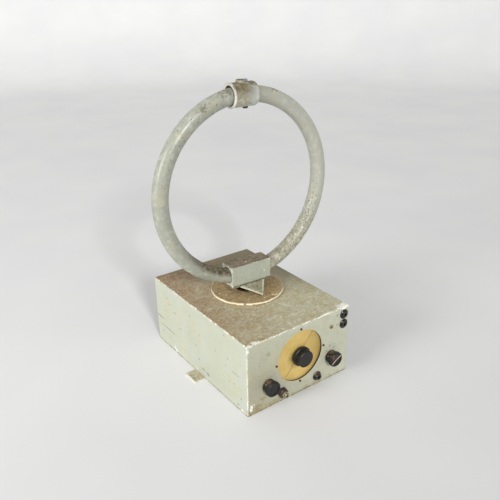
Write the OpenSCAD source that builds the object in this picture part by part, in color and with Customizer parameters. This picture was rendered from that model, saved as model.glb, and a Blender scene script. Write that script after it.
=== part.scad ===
// Radio direction finder: a hand-turned loop aerial on a battery receiver in a folded case.
// Millimetres. The origin is the middle of the case's underside, the front panel faces -Y.

/* [Case] */
// Width of the case across the front panel
case_w = 208; // [186:1:240]
// Depth of the case from front to back
case_d = 288; // [284:1:330]
// Height of the case top above what it stands on
case_h = 127; // [114:1:150]
// Thickness of the folded case sheet
case_wall = 1.6; // [1.2:0.1:2]
// Outer radius of the folded edges
case_edge_r = 3; // [2.6:0.1:5]
// Width of the flange folded in round the open underside
flange_w = 11; // [9:0.5:13]

/* [Base plate] */
// Thickness of the base plate
base_t = 2; // [1.6:0.1:3]
// Width of each mounting lug along the side
lug_w = 31; // [22:1:40]
// How far each lug stands out from the case side
lug_reach = 21.7; // [16:0.1:30]
// Place of the lugs along the case depth
lug_y = -6; // [-30:1:30]
// Diameter of the hole in each lug
lug_hole_d = 6.5; // [5:0.1:8]
// Corner radius of the lugs
lug_corner_r = 3; // [1:0.5:6]
// Number of base screws along each side
base_screws_per_side = 3; // [2:1:5]

/* [Loop] */
// Radius of the loop to the middle of its tube
ring_r = 149.7; // [140:0.1:170]
// Outside diameter of the loop tube
tube_d = 25.4; // [24:0.1:27]
// Wall of the loop tube
tube_wall = 1.6; // [1:0.1:2.4]
// Place of the turning axis from the middle of the case
spindle_x = 4.2; // [0:0.1:8]
// Place of the turning axis in depth
spindle_y = 4.8; // [0:0.1:8]
// Turn of the loop in the pose that is modelled
loop_rest_turn = -2.6; // [-5:0.1:5]
// Diameter of the wound aerial bundle inside the tube
winding_d = 10; // [6:0.5:12]
// Length of the cast block that holds both tube ends
block_len = 79; // [74:0.5:90]
// Depth of the block
block_depth = 32; // [31:0.5:38]
// Height of the block
block_h = 37; // [35:0.5:42]
// Half length of solid metal between the two tube sockets
block_core = 17; // [15:0.5:20]
// Edge bevel of the block
block_bevel = 1; // [0.6:0.1:1.6]

/* [Loop collar] */
// Length of the collar at the top of the loop
collar_len = 48.5; // [46:0.5:56]
// Outside diameter of the collar
collar_d = 37.6; // [33.5:0.1:38]
// Outside diameter of the beaded mouth of the collar
collar_lip_d = 39.4; // [38.4:0.2:41]
// Length of the beaded mouth
collar_lip_len = 4; // [3:0.5:8]
// Bore of the collar round its insulating sleeve
collar_bore_d = 29.6; // [29.4:0.1:30]
// Depth of the open gap in the mouth
collar_mouth = 7; // [4:0.5:9]
// Width of the boss on the collar
boss_w = 15; // [12:0.5:18]
// Length of the boss along the collar
boss_len = 20.5; // [18:0.5:23]
// Height of the boss over the collar
boss_h = 4.5; // [3.5:0.1:7]
// Height of the flat beside the boss that the top screw stands on
screw_flat_h = 0.4; // [0.2:0.1:2]
// Width of the insulating wall between the tube ends
septum_w = 16; // [12:0.5:20]

/* [Bearing and scale] */
// Diameter of the spindle
spindle_d = 19.05; // [16:0.05:20]
// Bore of the hollow spindle
spindle_bore = 12; // [8:0.5:13]
// Outside diameter of the bearing bush
bush_d = 28; // [26:0.5:32]
// Diameter of the bush flange
bush_flange_d = 42; // [38:1:50]
// Thickness of the bush flange
bush_flange_t = 3; // [2:0.5:4]
// Number of engraved marks round the azimuth scale
scale_marks = 36; // [12:12:72]
// Width of the engraved marks
scale_mark_w = 0.8; // [0.5:0.1:1.2]
// Depth of the engraved marks
scale_mark_t = 0.4; // [0.2:0.1:0.8]
// Diameter of the azimuth scale
scale_d = 125.2; // [110:0.2:150]
// Thickness of the azimuth scale
scale_t = 5; // [3:0.5:6]
// Outside diameter of the collar under the pointer
hub_d = 33; // [30:0.5:33]
// Height of the collar under the pointer
hub_h = 7.3; // [6:0.1:9]
// Thickness of the thrust washer
washer_t = 1; // [0.6:0.1:1.5]
// Thickness of the bearing locknut
locknut_t = 6; // [4:0.5:8]
// Reach of the pointer's tip from the axis
pointer_reach = 48.6; // [44:0.2:56]
// Angle at the pointer's tip
pointer_angle = 74; // [50:0.2:76]
// Fall of the pointer towards its tip
pointer_fall = 13.6; // [8:0.2:15]
// Thickness of the pointer plate
pointer_t = 2; // [1.5:0.1:2.5]
// Length of the insulating core that carries the slip rings
ring_core_len = 24; // [20:1:28]
// Drop of the slip ring core's foot below the case top
ring_core_drop = 58; // [56:0.5:62]
// Depth of the spindle in the block
spindle_seat = 21; // [18:0.5:22]
// Diameter of the slip rings
slip_ring_d = 28; // [26:0.5:30]
// Width of each slip ring
slip_ring_w = 5; // [3:0.5:6]

/* [Tuning dial] */
// Panel left between the round window and the case top
window_above = 11; // [11:0.5:16]
// Panel left between the round window and what the case stands on
window_below = 26; // [22:0.5:30]
// Gap between the panel and the dial plate behind it
dial_gap = 2; // [2:0.1:3]
// Thickness of the dial plate
dial_t = 1.2; // [0.8:0.1:2]
// Width of the dial plate beyond the window all round
dial_rim = 9; // [8.5:0.5:9.5]
// Distance of the dial screws from the window's edge
dial_screw_out = 3.5; // [3.4:0.1:4.5]
// Diameter of the dial screws
dial_screw_d = 3; // [2.5:0.1:3.5]
// Thickness of the cursor hair
cursor_hair = 0.6; // [0.4:0.1:0.8]
// Lean of the cursor from upright
cursor_lean = 39; // [0:1:90]

/* [Tuning knob] */
// Diameter of the rear flange
tuning_rear_d = 33; // [30:0.5:36]
// Diameter of the front cap
tuning_front_d = 28.4; // [26.4:0.2:30]
// Diameter of the fluted body between them
tuning_body_d = 27.4; // [24:0.2:28]
// Length of the knob
tuning_len = 14; // [12.5:0.1:16]
// Number of flutes round the body
tuning_flutes = 24; // [16:1:30]
// Gap between the panel's face and the knob
tuning_gap = 0.5; // [0.3:0.1:1]
// Diameter of all control shafts
shaft_d = 6.35; // [6:0.05:6.35]

/* [Small knobs] */
// Distance of each small knob from the panel's middle
control_x = 65; // [64:0.5:67]
// Height of the small knobs
control_z = 43.5; // [40:0.5:44]
// Diameter of the plain skirt
skirt_d = 22.8; // [20:0.2:23.2]
// Diameter of the fluted head
head_d = 26; // [24:0.2:28]
// Diameter of the flat ring in front of the head
face_d = 23.2; // [21:0.2:24]
// Diameter of the sunk middle of that ring
sunk_d = 18; // [15:0.2:19]
// Length of a small knob
small_len = 15.5; // [14:0.5:17]
// Length of the fluted head
head_len = 7; // [6:0.5:8]
// Number of flutes
flutes = 22; // [16:1:28]
// Width of the pointer groove across the range knob's face
groove_w = 1.4; // [0.8:0.1:2]
// Gap between the panel's face and a small knob
small_gap = 0.8; // [0.4:0.1:1.5]

/* [Sockets] */
// Distance of the phone sockets from the right side of the case
phone_edge = 12.2; // [11:0.2:16]
// Drop of the upper phone socket below the case top
phone_drop = 13; // [13:0.5:16]
// Spacing of the two phone sockets
phone_pitch = 18; // [17.2:0.2:20]
// Diameter of a socket flange
socket_flange_d = 16.6; // [15:0.2:17]
// Diameter of a socket neck through the panel
socket_neck_d = 9; // [8:0.5:10]
// Bore of a socket for its plug
socket_bore = 4; // [3:0.1:5]
// Place of the earth socket across the panel
earth_x = 36.5; // [32:0.5:42]
// Height of the earth socket
earth_z = 16; // [15.5:0.5:17]
// Place of the aerial terminal across the panel
aerial_x = -37.5; // [-42:0.5:-32]
// Height of the aerial terminal
aerial_z = 17.5; // [16:0.5:18]
// Width of the aerial terminal's insulating collar across its flats
aerial_af = 15.6; // [14:0.2:17]
// Length of the aerial terminal's insulating collar
aerial_len = 7.5; // [6:0.5:9]
// Diameter of the plated ferrule's flange
ferrule_d = 11.6; // [10:0.2:12.4]
// Diameter of the ferrule's tip
ferrule_tip_d = 8.8; // [7.4:0.2:9.4]
// Length of the ferrule in front of the insulating collar
ferrule_len = 6.2; // [5.4:0.1:8]

/* [Fixings] */
// Diameter of the small screws
screw_d = 3; // [2.5:0.1:3]
// Diameter of the two bracket screws
bracket_screw_d = 4; // [3:0.1:5]
// Width across the flats of the bracket screws' nuts
bracket_nut_af = 7; // [6.5:0.1:8]
// Diameter of the threaded neck of each control
neck_d = 9.5; // [8:0.1:10]
// Width across the flats of the control nuts
control_nut_af = 12.4; // [11.5:0.1:14]
// Thickness of the control nuts
control_nut_t = 2.2; // [1.8:0.1:2.6]
// Length of a socket behind the panel's face
socket_len = 14; // [12:0.5:16]
// Width across the flats of a socket's nut
socket_nut_af = 11.3; // [11:0.1:13]
// Thickness of a socket's nut
socket_nut_t = 4; // [3:0.1:5]
// Wall of the brass liner in each socket
liner_wall = 0.6; // [0.4:0.1:1]
// Length of the liner's tail past the socket
liner_tail = 3; // [2:0.5:6]

/* [Receiver] */
// Distance of the two bracket screws outwards from the dial screws
bracket_out = 16; // [14:0.5:18]
// Drop of the two bracket screws below the case top
bracket_drop = 27.5; // [25:0.5:30]
// Height of the tuning shaft over the chassis deck
deck_drop = 25; // [25:0.5:27]
// Width of the feet that the chassis stands on
foot_w = 10; // [9:0.5:12]
// Gap between the chassis feet and the case flange
foot_gap = 3.4; // [1:0.2:6]
// Front edge of the chassis deck behind the panel
deck_front = 32; // [28:0.5:34]
// Length of the chassis deck
deck_len = 136; // [134:1:140]
// Thickness of the chassis sheet
deck_t = 1.6; // [1:0.1:2]
// Width of the tuning capacitor
gang_w = 46; // [45:0.5:48]
// Length of the tuning capacitor
gang_len = 52; // [48:1:54]
// Radius of the rotor plates
rotor_r = 19; // [16:0.5:20]
// Number of rotor plates in each of the two sections
rotor_plates = 7; // [4:1:8]
// Gap between the batteries and the flange beside them
battery_gap = 1; // [0.5:0.5:4]
// Gap between the two batteries
battery_part = 6.8; // [3:0.2:10]
// Gap behind the batteries for the clamp rods
battery_back = 8; // [6:0.5:10]
// Depth of both batteries
battery_d = 70; // [60:1:72]
// Height of both batteries
battery_h = 62; // [50:1:64]
// Width of the low tension battery
lt_w = 46; // [36:1:48]
// Diameter of the battery terminals
terminal_d = 8; // [6:0.5:10]
// Thickness of the clamp bars over the batteries
clamp_t = 2; // [1.5:0.1:3]
// Width of the clamp bars
clamp_w = 14; // [10:1:18]
// Diameter of the clamp rods
clamp_rod_d = 3; // [2.5:0.1:4]
// Diameter of a valve bulb
valve_d = 19; // [17:0.5:19]
// Height of a valve
valve_h = 48; // [40:1:50]
// Diameter of a valve holder
holder_d = 22; // [20.5:0.5:24]
// Height of a valve holder over the deck
holder_h = 7; // [5:0.5:9]
// Diameter of a valve holder under the deck
holder_neck_d = 15.6; // [14:0.2:17]
// Distance of the valves from the chassis middle
valve_x = 46; // [44:0.5:50]
// Place of the front valves behind the deck's front edge
valve_front = 26; // [22:0.5:30]
// Place of the rear valves behind the deck's front edge
valve_back = 98; // [94:0.5:104]
// Width of an intermediate frequency transformer can
can_w = 24; // [20:0.5:26]
// Height of the cans
can_h = 50; // [40:1:56]
// Corner radius of the cans
can_r = 3; // [1:0.5:5]
// Width of the output transformer's core
core_w = 38; // [32:1:42]
// Thickness of the output transformer's core
core_stack = 18; // [14:1:22]
// Height of the output transformer's core
core_h = 32; // [28:1:36]
// Width of each limb of the core
core_limb = 6.4; // [5:0.2:8]
// Width of the tag board
board_w = 100; // [80:1:120]
// Depth of the tag board
board_d = 46; // [40:1:50]
// Thickness of the tag board
board_t = 1.6; // [1.2:0.1:2.4]
// Gap between the tag board and the deck
board_gap = 7.4; // [6:0.2:9]
// Diameter of the small resistors and capacitors
small_part_d = 5.4; // [4:0.2:6]
// Length of the small resistors and capacitors
small_part_len = 26; // [18:1:30]
// Number of the small resistors and capacitors
small_parts = 9; // [4:1:9]

/* [Hidden] */
$fn = 64;
fit = 0.05;
seat = 0.3;
panel_y = -case_d / 2;
inner_w = case_w - 2 * case_wall;
inner_d = case_d - 2 * case_wall;
inner_top = case_h - case_wall;
window_d = case_h - window_above - window_below;
dial_z = window_below + window_d / 2;
dial_screw_r = window_d / 2 + dial_screw_out;
deck_z = dial_z - deck_drop;
phone_x = case_w / 2 - phone_edge;
phone_z = case_h - phone_drop;
bracket_z = case_h - bracket_drop;
bracket_x = dial_screw_r + bracket_out;
deck_half_w = inner_w / 2 - flange_w - foot_gap - foot_w;
inner_r = max(0.6, case_edge_r - case_wall);
panel_back = panel_y + case_wall;
flange_top = base_t + case_wall;
scale_top = case_h + scale_t;
bush_top = scale_top + bush_flange_t;
hub_z = bush_top + washer_t;
pointer_z = hub_z + hub_h;
block_z = pointer_z + pointer_t;
ring_z = block_z + 0.4 + tube_d / 2 + ring_r;
socket_angle = asin(block_core / ring_r) + 0.15;
septum_angle = asin(septum_w / 2 / ring_r) + 0.15;
collar_z = ring_z + ring_r - 0.6;
collar_x = collar_len / 2 - 25.5;
core_z = case_h - ring_core_drop;
ring_core_top = core_z + ring_core_len;
locknut_z = inner_top - locknut_t;
dial_face = panel_back + dial_gap;
dial_back = dial_face + dial_t;
dial_r = window_d / 2 + dial_rim;
deck_y = panel_back + deck_front;
gang_y = deck_y + 12;
gang_h = 2 * (dial_z - deck_z);
gang_plate = 2;
plate_t = 0.6;
plate_pitch = 2.4;
section_len = (gang_len - 3 * gang_plate) / 2;
plate_start = (section_len - (rotor_plates - 1) * plate_pitch - plate_t) / 2;
sleeve_back = gang_y - 5;
sleeve_d = 13;
sleeve_flange_d = 17;
drive_body_d = 26;
drive_body_len = 10;
drive_y = dial_back + 6;
ball_d = (sleeve_d - shaft_d) / 2 - 0.05;
small_front = small_gap + small_len;
control_body_d = 24;
volume_turn = -40;
range_turn = -30;
wafer_y = panel_back + 20;
brush_x = spindle_x + 30;
slip_ring_levels = [4, 15];
collar_screw_x = 3;
collar_screw_d = 5;
collar_head_d = 8.6;
spot_face_d = collar_head_d + 0.4;
spot_face = 0.8;
boss_x = collar_screw_x + spot_face_d / 2 + 0.8 - boss_len / 2;
boss_top = collar_z + collar_d / 2 + boss_h;
screw_flat_z = collar_z + collar_d / 2 + screw_flat_h;
battery_y = inner_d / 2 - flange_w - battery_back - battery_d;
battery_top = base_t + battery_h;
ht_x = -inner_w / 2 + flange_w + battery_gap;
lt_x = inner_w / 2 - flange_w - battery_gap - lt_w;
ht_w = lt_x - battery_part - ht_x;
middle_row = (valve_front + valve_back) / 2;
valve_spots = [[-valve_x, valve_front], [-valve_x, valve_back], [valve_x, valve_front],
    [valve_x + 8, valve_back + 6]];
can_spots = [[-valve_x, middle_row], [-valve_x + 20, deck_len - can_w / 2]];
board_z = deck_z - deck_t - board_gap - board_t;
screw_inset = 7;

paint = "#9a9c88";
bakelite = "#1c1714";
brass = "#b08d45";
steel = "#8f9296";
aluminium = "#c3c6c8";
paxolin = "#7a4a24";

// A rectangle with round corners, centred
module rounded_rect(w, h, r) {
    square([w - 2 * r, h], center = true);
    square([w, h - 2 * r], center = true);
    for (x = [-1, 1], y = [-1, 1])
        translate([x * (w / 2 - r), y * (h / 2 - r)]) circle(r);
}

// The folded box with round top and upright edges, from z0 up to top
module folded_box(w, d, z0, top, r) {
    intersection() {
        translate([0, 0, z0]) linear_extrude(top - z0) rounded_rect(w, d, r);
        rotate([90, 0, 0]) linear_extrude(2 * d, center = true) rounded_rect(w, 2 * top, r);
        rotate([90, 0, 90]) linear_extrude(2 * w, center = true) rounded_rect(d, 2 * top, r);
    }
}

// Puts its children on the front panel, their +Z pointing out of it
module on_panel(x, z) {
    translate([x, panel_y, z]) rotate([90, 0, 0]) children();
}

// A rod along the depth between two places
module rod_y(x, z, y0, y1, d) {
    translate([x, y1, z]) rotate([90, 0, 0]) cylinder(h = y1 - y0, d = d);
}

// The frame that turns with the loop
module loop_frame() {
    translate([spindle_x, spindle_y, 0]) rotate([0, 0, loop_rest_turn]) children();
}

// An arc of the loop between two angles, of round section
module loop_arc(a0, a1, d) {
    translate([0, 0, ring_z]) rotate([90, 0, 0]) rotate([0, 0, a0])
        rotate_extrude(angle = a1 - a0) translate([ring_r, 0]) circle(d = d);
}

// A whole ring of the loop's path, of round section
module loop_ring(d) {
    translate([0, 0, ring_z]) rotate([90, 0, 0])
        rotate_extrude() translate([ring_r, 0]) circle(d = d);
}

// A countersunk screw that points up, its flat head at z = 0
module countersunk_screw(d, length) {
    cylinder(h = d * 0.55, d1 = d * 1.9, d2 = d);
    cylinder(h = length, d = d);
}

// A slotted cheese head screw that points down, its head standing on z = 0
module cheese_screw(d, length, head_d, head_h) {
    difference() {
        union() {
            cylinder(h = head_h * 0.7, d = head_d);
            translate([0, 0, head_h * 0.7]) cylinder(h = head_h * 0.3, d1 = head_d, d2 = head_d * 0.8);
            translate([0, 0, -length]) cylinder(h = length + 0.1, d = d);
        }
        translate([0, 0, head_h]) cube([head_d * 2, head_d * 0.16, head_h * 0.9], center = true);
    }
}

module hex_nut(af, t, bore) {
    difference() {
        cylinder(h = t, d = af / cos(30), $fn = 6);
        translate([0, 0, -1]) cylinder(h = t + 2, d = bore);
    }
}

// Places of the screws that hold the base plate to the case flange
module base_screw_places() {
    x = inner_w / 2 - screw_inset + 1;
    y = inner_d / 2 - screw_inset + 1;
    step = 2 * y / (base_screws_per_side - 1);
    for (side = [-1, 1], i = [0 : base_screws_per_side - 1])
        translate([side * x, -y + i * step, 0]) children();
}

// Places of the screws that hold the chassis feet
module foot_screw_places() {
    for (side = [-1, 1], y = [deck_y + 14, deck_y + deck_len - 14])
        translate([side * (deck_half_w + foot_w / 2), y, 0]) children();
}

module case_holes() {
    on_panel(0, dial_z) translate([0, 0, -10]) cylinder(h = 20, d = window_d, $fn = 128);
    for (a = [0, 90, 180, 270])
        on_panel(0, dial_z) rotate([0, 0, a]) translate([dial_screw_r, 0, -10])
            cylinder(h = 20, d = dial_screw_d + 2 * fit);
    for (side = [-1, 1]) {
        on_panel(side * control_x, control_z) translate([0, 0, -10]) cylinder(h = 20, d = neck_d + 2 * fit);
        on_panel(side * bracket_x, bracket_z) translate([0, 0, -10]) cylinder(h = 20, d = bracket_screw_d + 2 * fit);
    }
    for (i = [0, 1])
        on_panel(phone_x, phone_z - i * phone_pitch) translate([0, 0, -10])
            cylinder(h = 20, d = socket_neck_d + 2 * fit);
    on_panel(earth_x, earth_z) translate([0, 0, -10]) cylinder(h = 20, d = socket_neck_d + 2 * fit);
    on_panel(aerial_x, aerial_z) translate([0, 0, -10]) cylinder(h = 20, d = socket_neck_d + 2 * fit);
    translate([spindle_x, spindle_y, case_h - 10]) cylinder(h = 20, d = bush_d + 2 * fit);
    base_screw_places() cylinder(h = flange_top + 5, d = screw_d + 2 * fit);
}

module case() {
    color(paint) difference() {
        folded_box(case_w, case_d, base_t, case_h, case_edge_r);
        folded_box(inner_w, inner_d, flange_top, inner_top, inner_r);
        translate([0, 0, base_t - 1]) linear_extrude(case_wall + 2)
            rounded_rect(inner_w - 2 * flange_w, inner_d - 2 * flange_w, 2);
        case_holes();
    }
}

module base_plate() {
    lug_span = case_w + 2 * lug_reach;
    color(paint) difference() {
        union() {
            linear_extrude(base_t) rounded_rect(case_w - 0.6, case_d - 0.6, case_edge_r);
            translate([0, lug_y, 0]) linear_extrude(base_t) rounded_rect(lug_span, lug_w, lug_corner_r);
        }
        for (side = [-1, 1])
            translate([side * (case_w + lug_reach) / 2, lug_y, -1]) cylinder(h = base_t + 2, d = lug_hole_d);
        base_screw_places() {
            translate([0, 0, -1]) cylinder(h = base_t + 2, d = screw_d + 2 * fit);
            translate([0, 0, -0.01]) cylinder(h = screw_d * 0.58, d1 = screw_d * 1.96, d2 = screw_d);
        }
        foot_screw_places() {
            translate([0, 0, -1]) cylinder(h = base_t + 2, d = screw_d + 2 * fit);
            translate([0, 0, -0.01]) cylinder(h = screw_d * 0.58, d1 = screw_d * 1.96, d2 = screw_d);
        }
    }
}

module base_screws() {
    color(steel) {
        base_screw_places() translate([0, 0, 0.05]) countersunk_screw(screw_d, 7);
        foot_screw_places() translate([0, 0, 0.05]) countersunk_screw(screw_d, 7);
    }
}

module azimuth_scale() {
    color("#d8c9a4") translate([spindle_x, spindle_y, case_h]) difference() {
        rotate_extrude($fn = 128) polygon([
            [bush_d / 2 + fit, 0], [scale_d / 2, 0], [scale_d / 2, scale_t - 1.2],
            [scale_d / 2 - 1.2, scale_t], [bush_d / 2 + fit, scale_t]]);
        for (i = [0 : scale_marks - 1])
            rotate([0, 0, i * 360 / scale_marks])
                translate([scale_d / 2 - (i % 3 == 0 ? 7.5 : 5.2), -scale_mark_w / 2, scale_t - scale_mark_t])
                    cube([i % 3 == 0 ? 5.3 : 3, scale_mark_w, 1]);
    }
}

module bearing_bush() {
    color(brass) translate([spindle_x, spindle_y, 0]) rotate_extrude() polygon([
        [spindle_d / 2 + fit, locknut_z - 4], [bush_d / 2, locknut_z - 4],
        [bush_d / 2, scale_top], [bush_flange_d / 2, scale_top],
        [bush_flange_d / 2, bush_top - 0.6], [bush_flange_d / 2 - 0.6, bush_top],
        [spindle_d / 2 + fit, bush_top]]);
}

module bearing_locknut() {
    color(brass) translate([spindle_x, spindle_y, locknut_z])
        hex_nut(bush_d + 9, locknut_t, bush_d + 2 * fit);
}

module thrust_washer() {
    color(paxolin) translate([spindle_x, spindle_y, bush_top]) difference() {
        cylinder(h = washer_t, d = hub_d - 2);
        translate([0, 0, -1]) cylinder(h = washer_t + 2, d = spindle_d + 0.6);
    }
}

module loop_spindle() {
    color(steel) loop_frame() difference() {
        translate([0, 0, core_z - 6]) cylinder(h = block_z + spindle_seat - core_z + 6, d = spindle_d);
        translate([0, 0, core_z - 7]) cylinder(h = block_z + spindle_seat - core_z + 9, d = spindle_bore);
        loop_arc(-100, -80, winding_d + 0.6);
    }
}

module spindle_collar() {
    color(steel) loop_frame() difference() {
        translate([0, 0, hub_z]) rotate_extrude() polygon([
            [spindle_d / 2 + fit, 0], [hub_d / 2 - 0.6, 0], [hub_d / 2, 0.6],
            [hub_d / 2, hub_h], [spindle_d / 2 + fit, hub_h]]);
        translate([0, -hub_d / 2, hub_z + hub_h / 2]) rotate([90, 0, 0])
            cylinder(h = 8, d = 3, center = true);
    }
}

// The pointer plate, level under the block and then falling to its tip
module bearing_pointer() {
    half = tan(pointer_angle / 2);
    bend = block_depth / 2 + 1;
    bend_w = half * (pointer_reach - bend);
    color("#b9bda8") loop_frame() difference() {
        union() {
            translate([0, 0, pointer_z]) linear_extrude(pointer_t) {
                translate([-block_len / 2 + 2, -block_depth / 2 + 1]) square([block_len - 4, block_depth - 2]);
                translate([-bend_w, -bend - 0.01]) square([2 * bend_w, bend]);
            }
            translate([0, -bend, pointer_z]) rotate([pointer_fall, 0, 0])
                linear_extrude(pointer_t) polygon([
                    [-bend_w, 0], [bend_w, 0], [0, -(pointer_reach - bend) / cos(pointer_fall)]]);
        }
        translate([0, 0, pointer_z - 1]) cylinder(h = pointer_t + 2, d = spindle_d + 0.4);
        pointer_screw_places() translate([0, 0, -1]) cylinder(h = pointer_t + 2, d = screw_d + 2 * fit);
    }
}

// Places of the four screws that hold the pointer plate up against the block
module pointer_screw_places() {
    for (x = [-1, 1], y = [-1, 1])
        translate([x * (block_len / 2 - 6.5), y * (block_depth / 2 - 4.5), pointer_z]) children();
}

module pointer_screws() {
    color(steel) loop_frame() pointer_screw_places() rotate([180, 0, 0])
        cheese_screw(screw_d, pointer_t + 5, screw_d * 1.87, screw_d * 0.67);
}

// The cast block: two tube sockets, a channel for the winding and a bore for the spindle
module loop_base_block() {
    color(paint) loop_frame() difference() {
        translate([0, 0, block_z]) intersection() {
            translate([0, 0, block_h / 2]) rotate([90, 0, 0])
                linear_extrude(block_depth, center = true) rounded_rect(block_len, block_h, block_bevel);
            linear_extrude(block_h) rounded_rect(block_len, block_depth, block_bevel);
            translate([0, 0, block_h / 2]) rotate([90, 0, 90])
                linear_extrude(block_len, center = true) rounded_rect(block_depth, block_h, block_bevel);
        }
        loop_arc(-90 + socket_angle - 0.15, -60, tube_d + 2 * fit);
        loop_arc(-120, -90 - socket_angle + 0.15, tube_d + 2 * fit);
        loop_arc(-100, -80, winding_d + 0.6);
        translate([0, 0, block_z - 1]) cylinder(h = spindle_seat + 2, d = spindle_d + 2 * fit);
        pointer_screw_places() cylinder(h = pointer_t + 5.5, d = screw_d + 2 * fit);
    }
}

module half_tube(a0, a1) {
    color(paint) loop_frame() difference() {
        loop_arc(a0, a1, tube_d);
        loop_arc(a0 - 1, a1 + 1, tube_d - 2 * tube_wall);
    }
}

module loop_tube_left() {
    half_tube(90 + septum_angle, 270 - socket_angle);
}

module loop_tube_right() {
    half_tube(-90 + socket_angle, 90 - septum_angle);
}

// Outline of the collar along its own axis, from the beaded mouth to the round shoulder
module collar_profile() {
    r = collar_d / 2;
    lip = collar_lip_d / 2;
    end_r = tube_d / 2 + 1.1;
    shoulder = r - end_r;
    polygon(concat(
        [[0, 0], [lip - 1.4, 0], [lip, 1.4], [lip, collar_lip_len - 1.6], [r, collar_lip_len]],
        [for (a = [0 : 15 : 90])
            [end_r + shoulder * cos(a), collar_len - 2 - shoulder + shoulder * sin(a)]],
        [[end_r, collar_len], [0, collar_len]]));
}

// The domed boss on the collar, cut down at its right to a flat for the top screw
module collar_boss() {
    dome_r = 0.9 * boss_len;
    difference() {
        intersection() {
            translate([boss_x, 0, collar_z]) linear_extrude(boss_top - collar_z)
                rounded_rect(boss_len, boss_w, boss_w / 2 - 0.01);
            translate([boss_x - 3, 0, boss_top - dome_r]) sphere(r = dome_r);
        }
        translate([collar_screw_x - spot_face_d / 2, -boss_w, screw_flat_z]) cube([boss_len, 2 * boss_w, boss_h]);
    }
}

module loop_collar() {
    color(paint) loop_frame() difference() {
        union() {
            translate([collar_x - collar_len / 2, 0, collar_z]) rotate([0, 90, 0])
                rotate_extrude() collar_profile();
            collar_boss();
        }
        translate([collar_x - collar_len / 2 - 1, 0, collar_z]) rotate([0, 90, 0])
            cylinder(h = collar_len - 5, d = collar_bore_d);
        loop_arc(75, 90, tube_d + 2 * fit);
        translate([collar_screw_x, 0, collar_z - collar_d]) cylinder(h = 2 * collar_d, d = collar_screw_d + 2 * fit);
        translate([collar_screw_x, 0, collar_z - collar_d / 2 - 5 + spot_face]) cylinder(h = 5, d = spot_face_d);
    }
}

// The insulating sleeve that parts the tube ends and fills the collar
module collar_insulator() {
    x0 = collar_x - collar_len / 2 + collar_mouth;
    x1 = collar_x + collar_len / 2 - 6.2;
    color(paxolin) loop_frame() difference() {
        translate([x0, 0, collar_z]) rotate([0, 90, 0]) cylinder(h = x1 - x0, d = collar_bore_d - 2 * fit);
        loop_arc(90 + septum_angle - 0.1, 110, tube_d + 2 * fit);
        loop_arc(70, 90 - septum_angle + 0.1, tube_d + 2 * fit);
        loop_arc(80, 100, winding_d + 0.6);
        translate([collar_screw_x, 0, collar_z - 20]) cylinder(h = 40, d = collar_screw_d + 2 * fit);
    }
}

module collar_screws() {
    reach = collar_bore_d / 2 - winding_d / 2 - 3;
    bottom = collar_z - collar_d / 2 + spot_face;
    color(steel) loop_frame() {
        translate([collar_screw_x, 0, screw_flat_z])
            cheese_screw(collar_screw_d, screw_flat_z - collar_z - reach, collar_head_d, 3.2);
        translate([collar_screw_x, 0, bottom]) rotate([180, 0, 0])
            cheese_screw(collar_screw_d, collar_z - bottom - reach, collar_head_d, 3);
    }
}

module loop_winding() {
    color("#7d4f2a") loop_frame() {
        loop_ring(winding_d);
        for (side = [-1, 1])
            translate([side * 2, 0, core_z - 2]) cylinder(h = ring_z - ring_r - core_z, d = 1.6);
    }
}

module retaining_collar() {
    z = locknut_z - 4 - seat - 8;
    color(steel) loop_frame() difference() {
        translate([0, 0, z]) cylinder(h = 8, d = 30);
        translate([0, 0, z - 1]) cylinder(h = 10, d = spindle_d + 2 * fit);
        translate([0, -15, z + 4]) rotate([90, 0, 0]) cylinder(h = 10, d = 3, center = true);
    }
}

module slip_ring_core() {
    color(paxolin) loop_frame() difference() {
        translate([0, 0, core_z]) cylinder(h = ring_core_len, d = slip_ring_d - 3);
        translate([0, 0, core_z - 1]) cylinder(h = ring_core_len + 2, d = spindle_d + 2 * fit);
    }
}

module slip_rings() {
    color(brass) loop_frame() for (level = slip_ring_levels)
        translate([0, 0, core_z + level]) difference() {
            cylinder(h = slip_ring_w, d = slip_ring_d);
            translate([0, 0, -1]) cylinder(h = slip_ring_w + 2, d = slip_ring_d - 3 + 2 * fit);
        }
}

module brush_block() {
    color(paxolin) {
        translate([brush_x, spindle_y - 7, deck_z]) cube([6, 14, ring_core_top - deck_z]);
        translate([brush_x - 8, spindle_y - 7, deck_z]) cube([14, 14, 4]);
    }
}

module brushes() {
    gap = brush_x - spindle_x - slip_ring_d / 2;
    color(brass) for (level = slip_ring_levels)
        translate([spindle_x + slip_ring_d / 2 + 0.1, spindle_y - 3, core_z + level + 0.5])
            cube([gap - 0.1, 6, slip_ring_w - 1]);
}

module dial_plate() {
    color("#dcc878") on_panel(0, dial_z) translate([0, 0, panel_y - dial_back]) difference() {
        cylinder(h = dial_t, r = dial_r, $fn = 128);
        translate([0, 0, -1]) cylinder(h = dial_t + 2, d = sleeve_d + 1);
        for (a = [0, 90, 180, 270])
            rotate([0, 0, a]) translate([dial_screw_r, 0, -1]) cylinder(h = dial_t + 2, d = dial_screw_d + 2 * fit);
    }
}

module dial_spacers() {
    color(brass) on_panel(0, dial_z) for (a = [0, 90, 180, 270])
        rotate([0, 0, a]) translate([dial_screw_r, 0, panel_y - dial_face]) difference() {
            cylinder(h = dial_gap, d = 6);
            translate([0, 0, -1]) cylinder(h = dial_gap + 2, d = dial_screw_d + 2 * fit);
        }
}

module dial_screws() {
    color("#8a5a34") on_panel(0, dial_z) for (a = [0, 90, 180, 270])
        rotate([0, 0, a]) translate([dial_screw_r, 0, 0]) {
            cheese_screw(dial_screw_d, case_wall + dial_gap + dial_t + 3.4, dial_screw_d * 1.25, 2);
            translate([0, 0, panel_y - dial_back - 2.4]) hex_nut(5.5, 2.4, dial_screw_d + 2 * fit);
        }
}

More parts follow.
